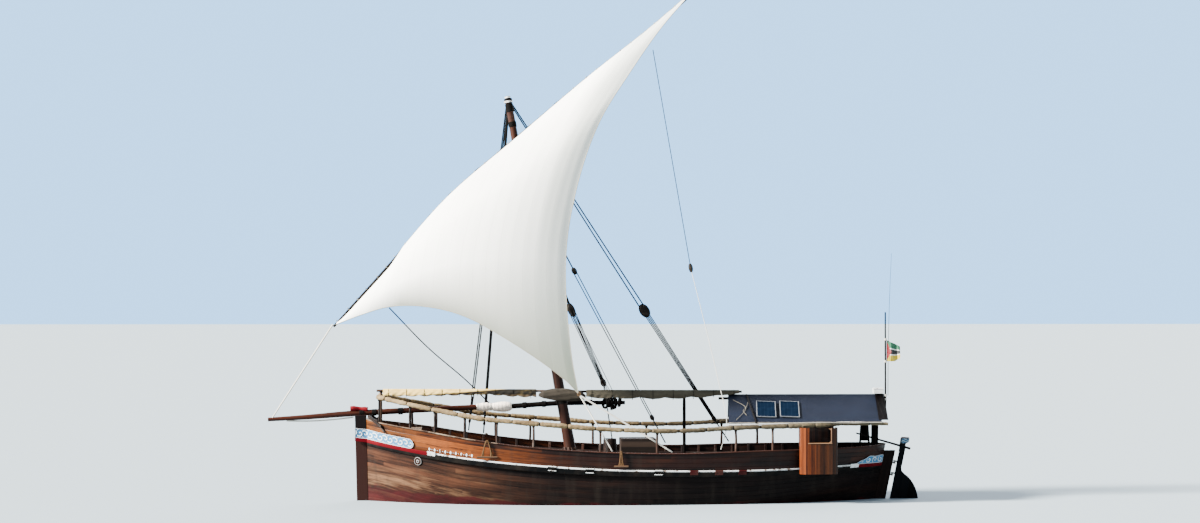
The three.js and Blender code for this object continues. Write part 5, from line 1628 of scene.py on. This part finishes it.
# Shelter roof
# One sheet of grey-blue canvas is laced over the ridge and stretched down to both sides, with
# a pale hem along the eaves. It sags a little between the rafters.
roof_finish = cloth_finish("roof_canvas", (0.0064, 0.0088, 0.0168), (0.0046, 0.0062, 0.0118), 0.25,
    soil=(0.003, 0.0038, 0.006), shine=0.03)
lines = []
for s in np.linspace(0, 1, 80):
    x = ROOF_FORE + (ROOF_AFT - ROOF_FORE) * s
    line = []
    for y in np.linspace(-ROOF_HALF, ROOF_HALF, 61):
        spot_x = x + ROOF_SKEW * y
        between = np.interp(-spot_x, (4.0, 6.5, 8.8), (0, 1, 2))
        sag = 0.03 * abs(math.sin(math.pi * between)) * math.sin(math.pi * abs(y) / ROOF_HALF)
        wave = 0.008 * math.sin(spot_x * 3.1 + y * 2) * abs(y) / ROOF_HALF
        line.append((spot_x, y, roof_z(y) + 0.012 - sag + wave + 0.02 * math.exp(-(y / 0.08) ** 2)))
    lines.append(line)
roof = loft(np.array(lines), closed=False)
piece = make("roof_cloth", roof, roof_finish, ["shelter_roof"], sharp=180)
hem_cloth = cloth_finish("hem_canvas", (0.24, 0.22, 0.18), (0.1, 0.085, 0.068), 0.5)
hems = []
for side_of in (1, -1):
    y = side_of * ROOF_HALF
    hem_line = [(x + ROOF_SKEW * y, y + side_of * 0.006 * math.sin(x * 5),
        roof_z(y) + 0.008 * math.sin(x * 3.1 + y * 2))
        for x in np.linspace(ROOF_FORE, ROOF_AFT, 70)]
    hems.append(tube(hem_line, 0.022, 8, lumps=0.2, seed=44))
make("roof_hem", combine(hems), hem_cloth)


# Roof end boards
# Dark boards are nailed over the canvas at the after end of the roof. Two short wide planks of
# the same wood stand at the shelter's after posts.
end_finish = planked_finish("end_board_timber", (0.001, 0.0005, 0.0006), (0.0004, 0.0003, 0.0003),
    0.17, 3.0, 0.008, bloom=0.0, shine=0.01)
eased_solid("roof_end_planks", "roof_end_boards", end_finish, 0.005, (0, 0.93, -0.36), (1, 0, 0))
planks = [timber_bar((-8.98, side_of * 1.17, 2.04), (-8.99, side_of * 1.22, 3.2), 0.26, 0.045,
    (1, 0, 0), 0.006, 0.5) for side_of in (1, -1)]
make("stern_post_planks", grain_by_place(combine(planks), (0, 0, 1), (1, 0, 0)), end_finish)


# Roof lines
# A dark, knotted rope lies over the roof's fore end and hangs to the rail, with two thin pale
# ropes knotted together beside it.
over_roof = [(-4.46 - 0.04 * y, y, float(roof_z(y)) + 0.045) for y in np.linspace(0.05, 2.28, 12)]
hanging = [*over_roof, (-4.55, 2.43, 2.78), (-4.56, 2.46, 2.55)]
knotted = smooth_line(hanging, 130)
thick = 0.02 + 0.016 * np.maximum(np.sin(np.linspace(0, 26 * math.pi, 130)), 0)
make("roof_knotted_rope", tube(knotted, thick, 8), tarred_rope)
pale_runs = []
for run in (((-3.92, 0.5), (-4.3, 1.08), (-4.28, 1.36), (-3.86, 2.2)),
        ((-4.44, 0.72), (-4.33, 1.16), (-4.2, 1.42), (-4.28, 1.8))):
    points = [(x, y, float(roof_z(y)) + 0.045) for x, y in run]
    pale_runs.append(tube(smooth_line(points, 40), 0.008, 8))
knot = turns((-4.31, 1.22, float(roof_z(1.22)) + 0.05), (0.2, 1, -0.4), 0.012, 0.014, 4, 12)
pale_line = rope_finish("pale_line", (0.145, 0.135, 0.105), (0.055, 0.046, 0.033), 0.03)
make("roof_pale_ropes", combine([*pale_runs, knot]), pale_line)


# Solar panels
# Two framed glass panels are clamped to short feet on the roof's port slope: dark blue cells
# in a grid of pale lines, inside pale frames.
PANEL_X, PANEL_Y, PANEL_WIDE, PANEL_LONG, PANEL_DEEP = (-5.035, -5.88), 1.325, 0.7, 1.39, 0.036
cell_finish, tree, shader = open_finish("solar_glass")
grain = grain_of(tree)
u, v, _ = parts_of(tree, grain)
lines_across = [calc(tree, "PINGPONG", calc(tree, "DIVIDE", side_at, size), 0.5)
    for side_at, size in ((u, 0.128), (v, 0.128))]
gap = calc(tree, "MAXIMUM", *[ramp(tree, side_at, 0.035, 0.022) for side_at in lines_across])
bus = ramp(tree, calc(tree, "PINGPONG", calc(tree, "DIVIDE", u, 0.0427), 0.5), 0.03, 0.015)
cloudy = noise(tree, grain, 3.0, 4, 0.6, 2.0)
shade = blend_colours(tree, ramp(tree, cloudy, 0.35, 0.65), (0.0012, 0.0034, 0.0085, 1),
    (0.0021, 0.0058, 0.0135, 1))
shade = blend_colours(tree, times(tree, bus, 0.2), shade, (0.008, 0.013, 0.022, 1))
shade = blend_colours(tree, times(tree, gap, 0.6), shade, (0.0085, 0.0145, 0.026, 1))
dress(tree, shader, shade, ramp(tree, cloudy, 0.3, 0.7, 0.22, 0.34), 0.0)
panel_metal, tree, shader = open_finish("panel_metal")
spot = spot_of(tree)
brushed = noise(tree, stretch(tree, spot, (2, 40, 40)), 1.0, 4, 0.6, 1.0)
shade = blend_colours(tree, brushed, (0.055, 0.06, 0.066, 1), (0.105, 0.112, 0.12, 1))
dress(tree, shader, shade, ramp(tree, brushed, 0.3, 0.7, 0.4, 0.6), 0.1)
shader.inputs["Metallic"].default_value = 0.15
slope_angle = math.atan2(ROOF_DROP, ROOF_HALF)
turn_angle = math.atan(ROOF_SKEW)
wide_way = np.array([math.cos(turn_angle), -math.sin(turn_angle) * math.cos(slope_angle),
    math.sin(turn_angle) * math.sin(slope_angle)])
long_way = np.array([math.sin(turn_angle), math.cos(turn_angle) * math.cos(slope_angle),
    -math.cos(turn_angle) * math.sin(slope_angle)])
up_way = np.cross(wide_way, long_way)
for number, x in enumerate(PANEL_X):
    middle = np.array([x, PANEL_Y, roof_z(PANEL_Y) + 0.014 + 0.04])
    rails = []
    for side_of in (1, -1):
        for reach, along_way, half, rail_at in (
                (PANEL_WIDE / 2 - 0.014, long_way, PANEL_LONG / 2, wide_way),
                (PANEL_LONG / 2 - 0.014, wide_way, PANEL_WIDE / 2 - 0.028, long_way)):
            centre = middle + rail_at * side_of * reach
            rails.append(timber_bar(centre - along_way * half, centre + along_way * half, 0.028,
                PANEL_DEEP, rail_at, 0.003))
        for end_of in (1, -1):
            foot = middle + wide_way * side_of * 0.3 + long_way * end_of * 0.5
            rails.append(timber_bar(foot - up_way * 0.045, foot - up_way * 0.012, 0.05, 0.04,
                wide_way, 0.003))
    make(f"panel_frame_{number + 1}", combine(rails), panel_metal, [f"solar_panel_{number + 1}"])
    ends = (middle + long_way * half * (PANEL_LONG / 2 - 0.026) + up_way * 0.006
        for half in (-1, 1))
    glass = timber_bar(*ends, PANEL_WIDE - 0.052, 0.016, wide_way, 0.001)
    offset = glass["verts"] - middle
    glass["uv"] = [np.stack([offset[list(f)] @ wide_way + 0.32, offset[list(f)] @ long_way + 0.64],
        1) for f in glass["faces"]]
    make(f"panel_glass_{number + 1}", glass, cell_finish)


# Ridge box
# A small white-painted wooden box stands on the ridge near the roof's after end. A flat lid
# lies over it.
eased_solid("ridge_box_case", "ridge_box", white_paint, 0.016, (1, 0, 0), (0, 0, 1))
low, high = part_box("ridge_box")
lid_x = (low.x + high.x) / 2
lid = timber_bar((lid_x - 0.19, 0, high.z - 0.026), (lid_x + 0.19, 0, high.z - 0.026), 0.32, 0.03,
    (0, 1, 0), 0.008)
make("ridge_box_lid", lid, white_paint)


# Flagstaff
# A slim dark pole is lashed upright to the ridge pole's end with white line. A thin black whip
# aerial is tied beside it and leans aft.
STAFF_X, STAFF_Y = -9.56, 0.088
levels = np.linspace(3.35, 6.8, 30)
staff = tube([(STAFF_X, STAFF_Y, z) for z in levels],
    np.interp(levels, (3.35, 5.2, 6.8), (0.034, 0.032, 0.026)), 12, lumps=0.03)
make("flagstaff_pole", staff, dark_spar, ["flagstaff"])
aerial = tube([(-9.66 - 0.14 * t * t, 0.05, 3.75 + 5.2 * t) for t in np.linspace(0, 1, 30)],
    np.linspace(0.012, 0.005, 30), 8)
make("whip_aerial", aerial, tar_paint)
staff_ties = [turns((STAFF_X, STAFF_Y, z), (0, 0, 1), 0.036, 0.012, 6)
    for z in (3.62, 3.76, 5.0, 5.8)]
make("staff_lashings", combine(staff_ties), white_rope)


# Flag
# A faded bunting flag of bold horizontal bands, green over black over yellow, each parted by
# a white line, with a red field at the hoist. It hangs slack and rippled.
FLAG = ((-9.602, 0.09, 5.78, 5.01), (-9.76, 0.13, 5.7, 5.0), (-9.93, 0.06, 5.64, 5.01),
    (-10.1, 0.105, 5.54, 5.13))
flag_finish, tree, shader = open_finish("flag_bunting")
grain = grain_of(tree)
u, v, _ = parts_of(tree, grain)
bands = colour_bands(tree, v, (
    (0, (0.42, 0.3, 0.01, 1)), (0.32, (0.72, 0.72, 0.68, 1)), (0.37, (0.012, 0.012, 0.013, 1)),
    (0.63, (0.72, 0.72, 0.68, 1)), (0.68, (0.01, 0.1, 0.045, 1))))
wedge = plus(tree, times(tree, calc(tree, "ABSOLUTE", calc(tree, "SUBTRACT", v, 0.5)), 0.76), u)
shade = blend_colours(tree, calc(tree, "LESS_THAN", wedge, 0.38), bands, (0.22, 0.006, 0.012, 1))
faded = noise(tree, grain, 5.0, 5, 0.6, 2.0)
shade = blend_colours(tree, ramp(tree, faded, 0.5, 0.75, 0.0, 0.35), shade, (0.4, 0.38, 0.34, 1))
dress(tree, shader, shade, 0.85, relief=(faded, 0.3, 0.004))
table = np.array(FLAG)
lines = []
for s in np.linspace(0, 1, 40):
    x, y, top, foot = (np.interp(s, np.linspace(0, 1, 4), table[:, k]) for k in range(4))
    lines.append([(x, y + 0.025 * math.sin(s * 14 + b * 2.5) * s, foot + (top - foot) * b)
        for b in np.linspace(0, 1, 26)])
bunting = loft(np.array(lines), closed=False)
piece = make("flag_bunting", bunting, flag_finish, ["flag"], sharp=180)
spread = np.array([(i / 39, j / 25) for i in range(40) for j in range(26)])
mesh = piece.data
picked = np.array([spread[loop.vertex_index] for loop in mesh.loops], np.float32)
mesh.uv_layers["grain"].data.foreach_set("uv", picked.ravel())


# Quarter box
# A latrine of upright varnished staves hangs outside the port quarter, with rounded corners,
# a wide window over a pale sill, a pillar at each side and a dark screen of boards inboard.
BOX_LOW, BOX_HIGH, BOX_WALL, BOX_SILL = 1.06, 2.7, 0.032, 2.14
BOX_PLAN = ((-6.1, 2.33), (-6.1, 2.49), (-6.158, 2.632), (-6.3, 2.69), (-6.46, 2.68), (-7.17, 2.63),
    (-7.29, 2.62), (-7.41, 2.57), (-7.46, 2.45), (-7.46, 1.97))
WINDOW = (-7.21, -6.39)
box_finish = timber_finish("stave_timber", (0.132, 0.029, 0.0061), (0.013, 0.0027, 0.001), 0.35,
    0.32, 0.5, 0.0, 0.04, 0.003, 0.1)
graded(box_finish, 0, -6.45, -6.85, (0.42, 0.56, 0.66))
plan = np.array([(x, y, 0) for x, y in BOX_PLAN])
run = run_of(plan)
STAVES = 34
chance = random.Random(9)
staves = []
for n in range(STAVES):
    ends = [np.array([np.interp(s * run[-1], run, plan[:, k]) for k in range(3)])
        for s in (n / STAVES, (n + 1) / STAVES)]
    middle = (ends[0] + ends[1]) / 2
    way = ends[1] - ends[0]
    wide = np.linalg.norm(way)
    inward = np.cross(way / wide, (0, 0, -1))
    middle = middle + inward * (BOX_WALL / 2) * np.sign(inward
        @ (np.array([-6.8, 1.6, 0]) - middle))
    top = BOX_SILL if WINDOW[0] < middle[0] < WINDOW[1] else BOX_HIGH
    staves.append(timber_bar(middle + (0, 0, BOX_LOW), middle + (0, 0, top), wide * 1.01, BOX_WALL,
        way, 0.005, chance.random()))
make("quarter_box_staves", combine(staves), box_finish, ["quarter_box"])
floor_plan = [np.array([x * 0.985 - 0.1, y - 0.04, 0]) for x, y in BOX_PLAN]
base = loft([[p + (0, 0, z) for p in floor_plan] for z in (BOX_LOW + 0.004, BOX_LOW + 0.044)])
make("quarter_box_floor", grain_by_place(base, (1, 0, 0), (0, 1, 0)), inside_finish)
sill_finish = timber_finish("sill_timber", (0.22, 0.115, 0.055), (0.05, 0.022, 0.01), 0.45)
sill_z = BOX_SILL + 0.016
trims = [timber_bar((WINDOW[0] - 0.02, 2.605, sill_z), (WINDOW[1] + 0.02, 2.655, sill_z), 0.085,
    0.03, (0, 1, 0), 0.008, 0.8)]
for x in WINDOW:
    trims.append(timber_bar((x, 2.625, BOX_SILL), (x, 2.625, BOX_HIGH - 0.01), 0.04, 0.022,
        (0, 1, 0), 0.006, 0.5))
for corner_z, turn_up in ((BOX_SILL + 0.03, 1), (BOX_HIGH - 0.02, -1)):
    for k in range(7):
        reach = 0.1 * (1 - math.sin(math.pi / 2 * (k + 0.5) / 7)) + 0.006
        z = corner_z + turn_up * 0.1 * (k + 0.5) / 7
        trims.append(timber_bar((WINDOW[0], 2.625, z), (WINDOW[0] + reach, 2.625, z), 0.03, 0.0146,
            (0, 1, 0), 0.001, 0.6))
make("quarter_box_trim", combine(trims), sill_finish)
screen = []
for k in range(11):
    foot, head = ((-6.16 - 0.118 * k, 2.2 - 0.031 * k, z) for z in (2.03, 2.78))
    screen.append(timber_bar(foot, head, 0.128, 0.022, (-0.118, -0.031, 0), 0.003,
        (k * 5 % 11) / 11))
make("quarter_box_screen", combine(screen), inside_finish)


# Standing rigging
# Rope shrouds and backstays on the starboard side hold the mast. Each comes down in one or
# two parts to a wooden block, and goes on in two or more parts to a lower block and a strop.
stay_rope = rope_finish("stay_rope", (0.0085, 0.0085, 0.0085), (0.003, 0.003, 0.003), 0.05)
block_finish = timber_finish("block_timber", (0.01, 0.007, 0.0058), (0.0022, 0.0016, 0.0014), 0.5,
    shine=0.06)
# Node, head, foot, upper block's and lower block's share of the way, parts above the upper
# block, parts below it, how far apart they are, half the upper block's length.
STAYS = (("shroud_fore_1", (4.25, -0.16, 14.33), (5.64, -2.325, 2.4), 0.9, 0.97, 2, 3, 0.07, 0.07),
         ("shroud_fore_2", (4.215, -0.175, 14.15), (5.085, -2.425, 2.3), 0.905, 0.97, 3, 3, 0.06, 0.07),
         ("backstay_1", (3.48, -0.19, 11.46), (-1.72, -2.7, 1.9), 0.33, 0.9, 1, 2, 0.11, 0.13),
         ("backstay_2", (4.07, -0.15, 14.33), (-4.08, -2.5, 1.96), 0.605, 0.93, 2, 4, 0.16, 0.25))


# A rigging block: two rounded cheeks, a grooved sheave between them and a rope strop.
def rigging_block(centre, way, size, wide=0.62):
    way, side, pin = square_to(way)
    turn = np.linspace(0, 2 * math.pi, 16, endpoint=False)
    shapes = []
    for cheek in (-1, 1):
        rings = []
        for t in np.linspace(-1, 1, 13):
            half = size * wide * math.sqrt(max(1 - t * t, 0.015))
            middle = centre + way * t * size + pin * cheek * size * wide * 0.5
            rings.append([middle + side * half * math.cos(q) + pin * size * wide * 0.26
                * math.sin(q) for q in turn])
        shapes.append(loft(rings))
    rings = [[centre + pin * size * wide * depth + (way * math.cos(q) + side * math.sin(q)) * size
        * wide * reach for q in turn] for depth, reach in ((-0.2, 0.1), (-0.2, 0.8), (0, 0.68),
        (0.2, 0.8), (0.2, 0.1))]
    loop = [centre + way * math.cos(q) * size * 1.07 + side * math.sin(q) * size * wide * 1.1
        for q in np.linspace(0, 2 * math.pi, 29)]
    return combine([*shapes, loft(rings)]), tube(loop, size * 0.08, 6)


# Ropes side by side between two points, apart from one another by one distance at each end.
def rope_parts(start, end, count, apart, end_apart, radius):
    start, end = np.array(start, float), np.array(end, float)
    side = unit(np.cross(unit(end - start), (0, 1, 0)))
    shapes = []
    for k in range(count):
        share = (k - (count - 1) / 2) / max(count - 1, 1)
        shapes.append(tube(smooth_line([start + side * share * apart,
            end + side * share * end_apart], 40), radius, 8))
    return shapes


blocks, strops = [], []
for name, head, foot, block_at, low_at, upper, falls, apart, size in STAYS:
    head, foot = np.array(head), np.array(foot)
    way = foot - head
    block, low = head + way * block_at, head + way * low_at
    ropes = (rope_parts(head, block, upper, 0.05, apart, 0.025)
        + rope_parts(block, low, falls, apart, apart * 0.6, 0.019)
        + rope_parts(low, foot, 1, 0, 0, 0.026))
    make(f"{name}_ropes", combine(ropes), stay_rope, [name])
    for centre, half in ((block, size), (low, min(size, 0.11))):
        shell, block_strop = rigging_block(centre, way, half)
        blocks.append(shell)
        strops.append(block_strop)
make("stay_blocks", combine(blocks), block_finish)
make("stay_strops", combine(strops), tarred_rope)


# Halyard tackle
# The yard's halyard comes down from the masthead on the starboard side to a long block of
# many sheaves. Its falls go to a lower block, and the hauling parts to the spare spar's end.
UPPER, LOWER = np.array([1.88, -1.575, 6.94]), np.array([0.62, -2.48, 4.16])
SPAR_END = np.array([0.3, -0.345, 3.56])
way = LOWER - UPPER
halyard = (rope_parts((3.4, -0.2, 10.7), UPPER, 2, 0.02, 0.05, 0.025)
    + rope_parts(UPPER, LOWER, 5, 0.22, 0.12, 0.0155)
    + rope_parts(LOWER, (0.27, -2.7, 1.99), 1, 0, 0, 0.024))
make("halyard_ropes", combine(halyard), stay_rope, ["halyard_tackle"])
hauling = rope_parts(UPPER, SPAR_END, 2, 0.1, 0.16, 0.0125) + rope_parts(LOWER, SPAR_END, 2, 0.1,
    0.1, 0.0125)
make("halyard_hauling_parts", combine(hauling), stay_rope)
shells, strops = zip(rigging_block(UPPER + way * 0.025, way, 0.26, 0.42),
    rigging_block(LOWER, way, 0.15))
make("halyard_blocks", combine(shells), block_finish)
make("halyard_strops", combine(strops), tarred_rope)


# Running rigging
# The tack line holds the yard's heel down to the bowsprit and two sheets hold the clew to the
# rail. A vang runs from the leech through a block to the quarter, and a brail from the foot.
tan_rope = rope_finish("tan_rope", (0.085, 0.046, 0.02), (0.018, 0.01, 0.006), 0.06)


def crossing(name, shape, finish):
    piece = make(name, shape, finish, body=None)
    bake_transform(piece)


# Loose turns of rope about a middle.
def coil(centre, way, radius, thick, count, seed, looseness=0.18):
    chance = np.random.default_rng(seed)
    way, side, other = square_to(way)
    steps = np.linspace(0, count * 2 * math.pi, count * 20)
    loose = np.interp(steps, np.linspace(0, steps[-1], count * 3), chance.uniform(-1, 1, count * 3))
    reach = radius * (1 + looseness * loose)
    drift = np.interp(steps, (0, steps[-1]), (-1, 1)) * thick * count * 0.16
    line = (centre + np.outer(np.cos(steps) * reach, side) + np.outer(np.sin(steps) * reach, other)
        + np.outer(drift + loose * thick * 0.4, way))
    return tube(line, thick / 2, 6)


TACK, CLEW = (10.53, 0.1, 6.36), (1.7, 2.2, 3.86)
SPRIT_END = (12.72, -0.06, 2.97)
VANG = ((-3.28, 2.55, 1.95), (-3.5, 2.45, 2.84), (-3.21, 2.3, 4.4), (-2.88, 2.0, 5.92),
    (-2.28, 1.8, 8.38), (-0.95, 1.55, 16.2))
crossing("tack_line", tube(smooth_line([SPRIT_END, TACK], 60), 0.028, 8), white_rope)
for name, rail_end, radius in (("sheet_aft", (-1.55, 2.6, 1.86), 0.028),
        ("sheet_fore", (0.57, 2.62, 1.9), 0.024)):
    crossing(name, tube(smooth_line([rail_end, CLEW], 60), radius, 8), white_rope)
crossing("vang_fall", tube(smooth_line(VANG[:5], 90), 0.011, 8), white_rope)
crossing("vang_pendant", tube(smooth_line(VANG[4:], 60), 0.014, 8), stay_rope)
block_parts = rigging_block(VANG[4], np.subtract(VANG[5], VANG[4]), 0.15, 0.42)
crossing("vang_block", combine(block_parts), block_finish)
BRAIL = ((4.9, -0.33, 3.5), (5.75, 0.0, 4.35), (7.1, 0.35, 5.52), (8.49, 0.7, 6.96))
crossing("foot_brail", tube(smooth_line(BRAIL, 70), 0.023, 8), stay_rope)
knot = coil((1.72, 2.2, 3.9), (0.3, 1, 0.2), 0.055, 0.03, 4, 3, 0.2)
crossing("clew_knot", knot, tan_rope)


# Strops and toggles
# Loops of heavy rope hang over the port and starboard rail at two places, each with wooden
# toggles at its foot, for boats and fenders to be made fast to.
def strop(x, head_z, foot_z, spread):
    head_at, foot_at = fraction_at(x, head_z), fraction_at(x, foot_z)
    y_head = outside(head_at, head_z) + 0.045
    y_foot = outside(foot_at, foot_z) + 0.075
    halfway = (y_head + y_foot) / 2 + 0.02, (head_z + foot_z) / 2
    loops = []
    for shift in (-0.03, 0.03):
        route = [(x - spread - shift, y_foot, foot_z), (x - spread * 0.7, *halfway),
            (x - shift * 0.5, y_head + 0.012, head_z), (x + spread * 0.7, *halfway),
            (x + spread + shift, y_foot, foot_z)]
        loops.append(tube(smooth_line(route, 50), 0.02, 8))
    ends = [(end_x, y_foot + 0.015, foot_z) for end_x in (x - spread - 0.2, x + spread + 0.2)]
    return combine(loops), tube(ends, 0.032, 10)


toggle_finish = timber_finish("toggle_timber", (0.095, 0.048, 0.021), (0.02, 0.009, 0.005), 0.6)
loops, toggles = zip(*(strop(4.98, 2.28, 1.7, 0.16), strop(0.27, 1.92, 1.38, 0.05)))
both_sides("strop_ropes", combine(loops), tan_rope)
both_sides("strop_toggles", combine(toggles), toggle_finish)


# Beam heads
# The ends of the deck beams come out through the side across the white strake. The fore three
# are tarred, with white painted on their upper and lower edges, and the others are dark red.
head_boxes, head_edges = [], []
for x in BEAM_HEAD_X:
    ends = at_wale(x - HEAD_HALF + 0.01), at_wale(x + HEAD_HALF - 0.01)
    head_boxes.append(band(*ends, -0.1, 0.062, 0.112, 5, 0.012))
    head_edges += [band(*ends, foot, head, 0.118, 5, 0.006)
        for foot, head in ((0.04, 0.066), (-0.098, -0.078))]
both_sides("beam_heads_tarred", combine(head_boxes[:3]), tar_paint)
both_sides("beam_head_edges", combine(head_edges[:6]), white_paint)
dark_red = painted_finish("dark_red_paint", (0.024, 0.0022, 0.0026), (0.01, 0.004, 0.003), 0.2, 0.3,
    shine=0.06)
both_sides("beam_heads_red", combine(head_boxes[3:]), dark_red)


# Painted ornament
# A row of small white diamonds with dots between, painted on the bow's topside over the white
# strake. Each is a thin raised patch of paint.
diamonds = []
for n, x in enumerate(np.linspace(7.02, 5.52, 17)):
    half, tall = (0.036, 0.062) if n % 2 == 0 else (0.013, 0.016)
    rings = [[side_line(at_wale(x + dx * share), 0.165 + dz * share, out)
        for dx, dz in ((half, 0), (0, tall), (-half, 0), (0, -tall))]
        for out, share in ((-0.004, 1.0), (0.005, 1.0), (0.007, 0.8))]
    diamonds.append(loft(rings))
both_sides("painted_diamonds", combine(diamonds), white_paint)


# Hatch, locker and water barrel
# A planked hatch with a coaming forward of the mast, a long locker aft of it, and a coopered
# barrel with iron hoops.
gear_finish = planked_finish("gear_timber", (0.022, 0.0145, 0.011), (0.005, 0.0034, 0.0028), 0.12,
    2.4, 0.006, bloom=0.0)
eased_solid("hatch_cover", "hatch", gear_finish, 0.014, (1, 0, 0), (0, 0.8, 0.6))
eased_solid("deck_locker_case", "deck_locker", gear_finish, 0.014, (1, 0, 0), (0, 0.8, 0.6))
low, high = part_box("water_barrel")
centre_x, centre_y = (low.x + high.x) / 2, (low.y + high.y) / 2
staves = []
tall = high.z - low.z
for n in range(18):
    angle = n * 2 * math.pi / 18
    rows = []
    for t in np.linspace(0, 1, 9):
        radius = 0.232 + 0.03 * math.sin(math.pi * t)
        ring = []
        for da, dr in ((-0.168, -0.022), (-0.168, -0.003), (-0.15, 0), (0.15, 0), (0.168, -0.003),
                (0.168, -0.022)):
            ring.append((centre_x + (radius + dr) * math.cos(angle + da),
                centre_y + (radius + dr) * math.sin(angle + da), low.z + tall * t))
        rows.append(ring)
    staves.append(loft(rows, tone=lambda i, j, u, n=n: (n * 7 % 18) / 18))
heads = [[(centre_x + r * math.cos(q), centre_y + r * math.sin(q), z)
    for q in np.linspace(0, 2 * math.pi, 24, endpoint=False)]
    for r, z in ((0.02, high.z - 0.04), (0.21, high.z - 0.04), (0.21, high.z - 0.07),
    (0.02, high.z - 0.07))]
staves.append(loft(heads))
barrel_finish = timber_finish("barrel_timber", (0.024, 0.011, 0.007), (0.005, 0.0025, 0.0018))
make("barrel_staves", combine(staves), barrel_finish, ["water_barrel"])
HOOP_HALF = 0.018
hoops = [tube([(centre_x, centre_y, low.z + tall * t - HOOP_HALF),
    (centre_x, centre_y, low.z + tall * t + HOOP_HALF)], 0.235 + 0.03 * math.sin(math.pi * t), 28)
    for t in (0.1, 0.27, 0.73, 0.9)]
make("barrel_hoops", combine(hoops), iron_finish)


# Rope coils
# Five loose coils of tarred running rope hang on the spare spar's after end. One of tan rope
# lies on the foredeck.
coils = [coil((x, -0.345 + shift, 3.5 + rise), (1, lean, 0.1), radius, 0.03, parts, n)
    for n, (x, shift, rise, radius, parts, lean) in enumerate(((0.66, 0.0, -0.03, 0.17, 9, 0.5),
    (0.5, 0.05, 0.04, 0.19, 10, -0.4), (0.33, -0.05, -0.02, 0.2, 10, 0.3),
    (0.14, 0.0, 0.02, 0.17, 8, -0.2), (0.42, 0.0, -0.1, 0.15, 7, 0.1)))]
make("spar_coils", combine(coils), tarred_rope)
deck_coils = [coil((8.2, 0.3, 2.6), (0, 0, 1), 0.24, 0.03, 6, 8, 0.1)]
make("foredeck_coil", combine(deck_coils), tan_rope)
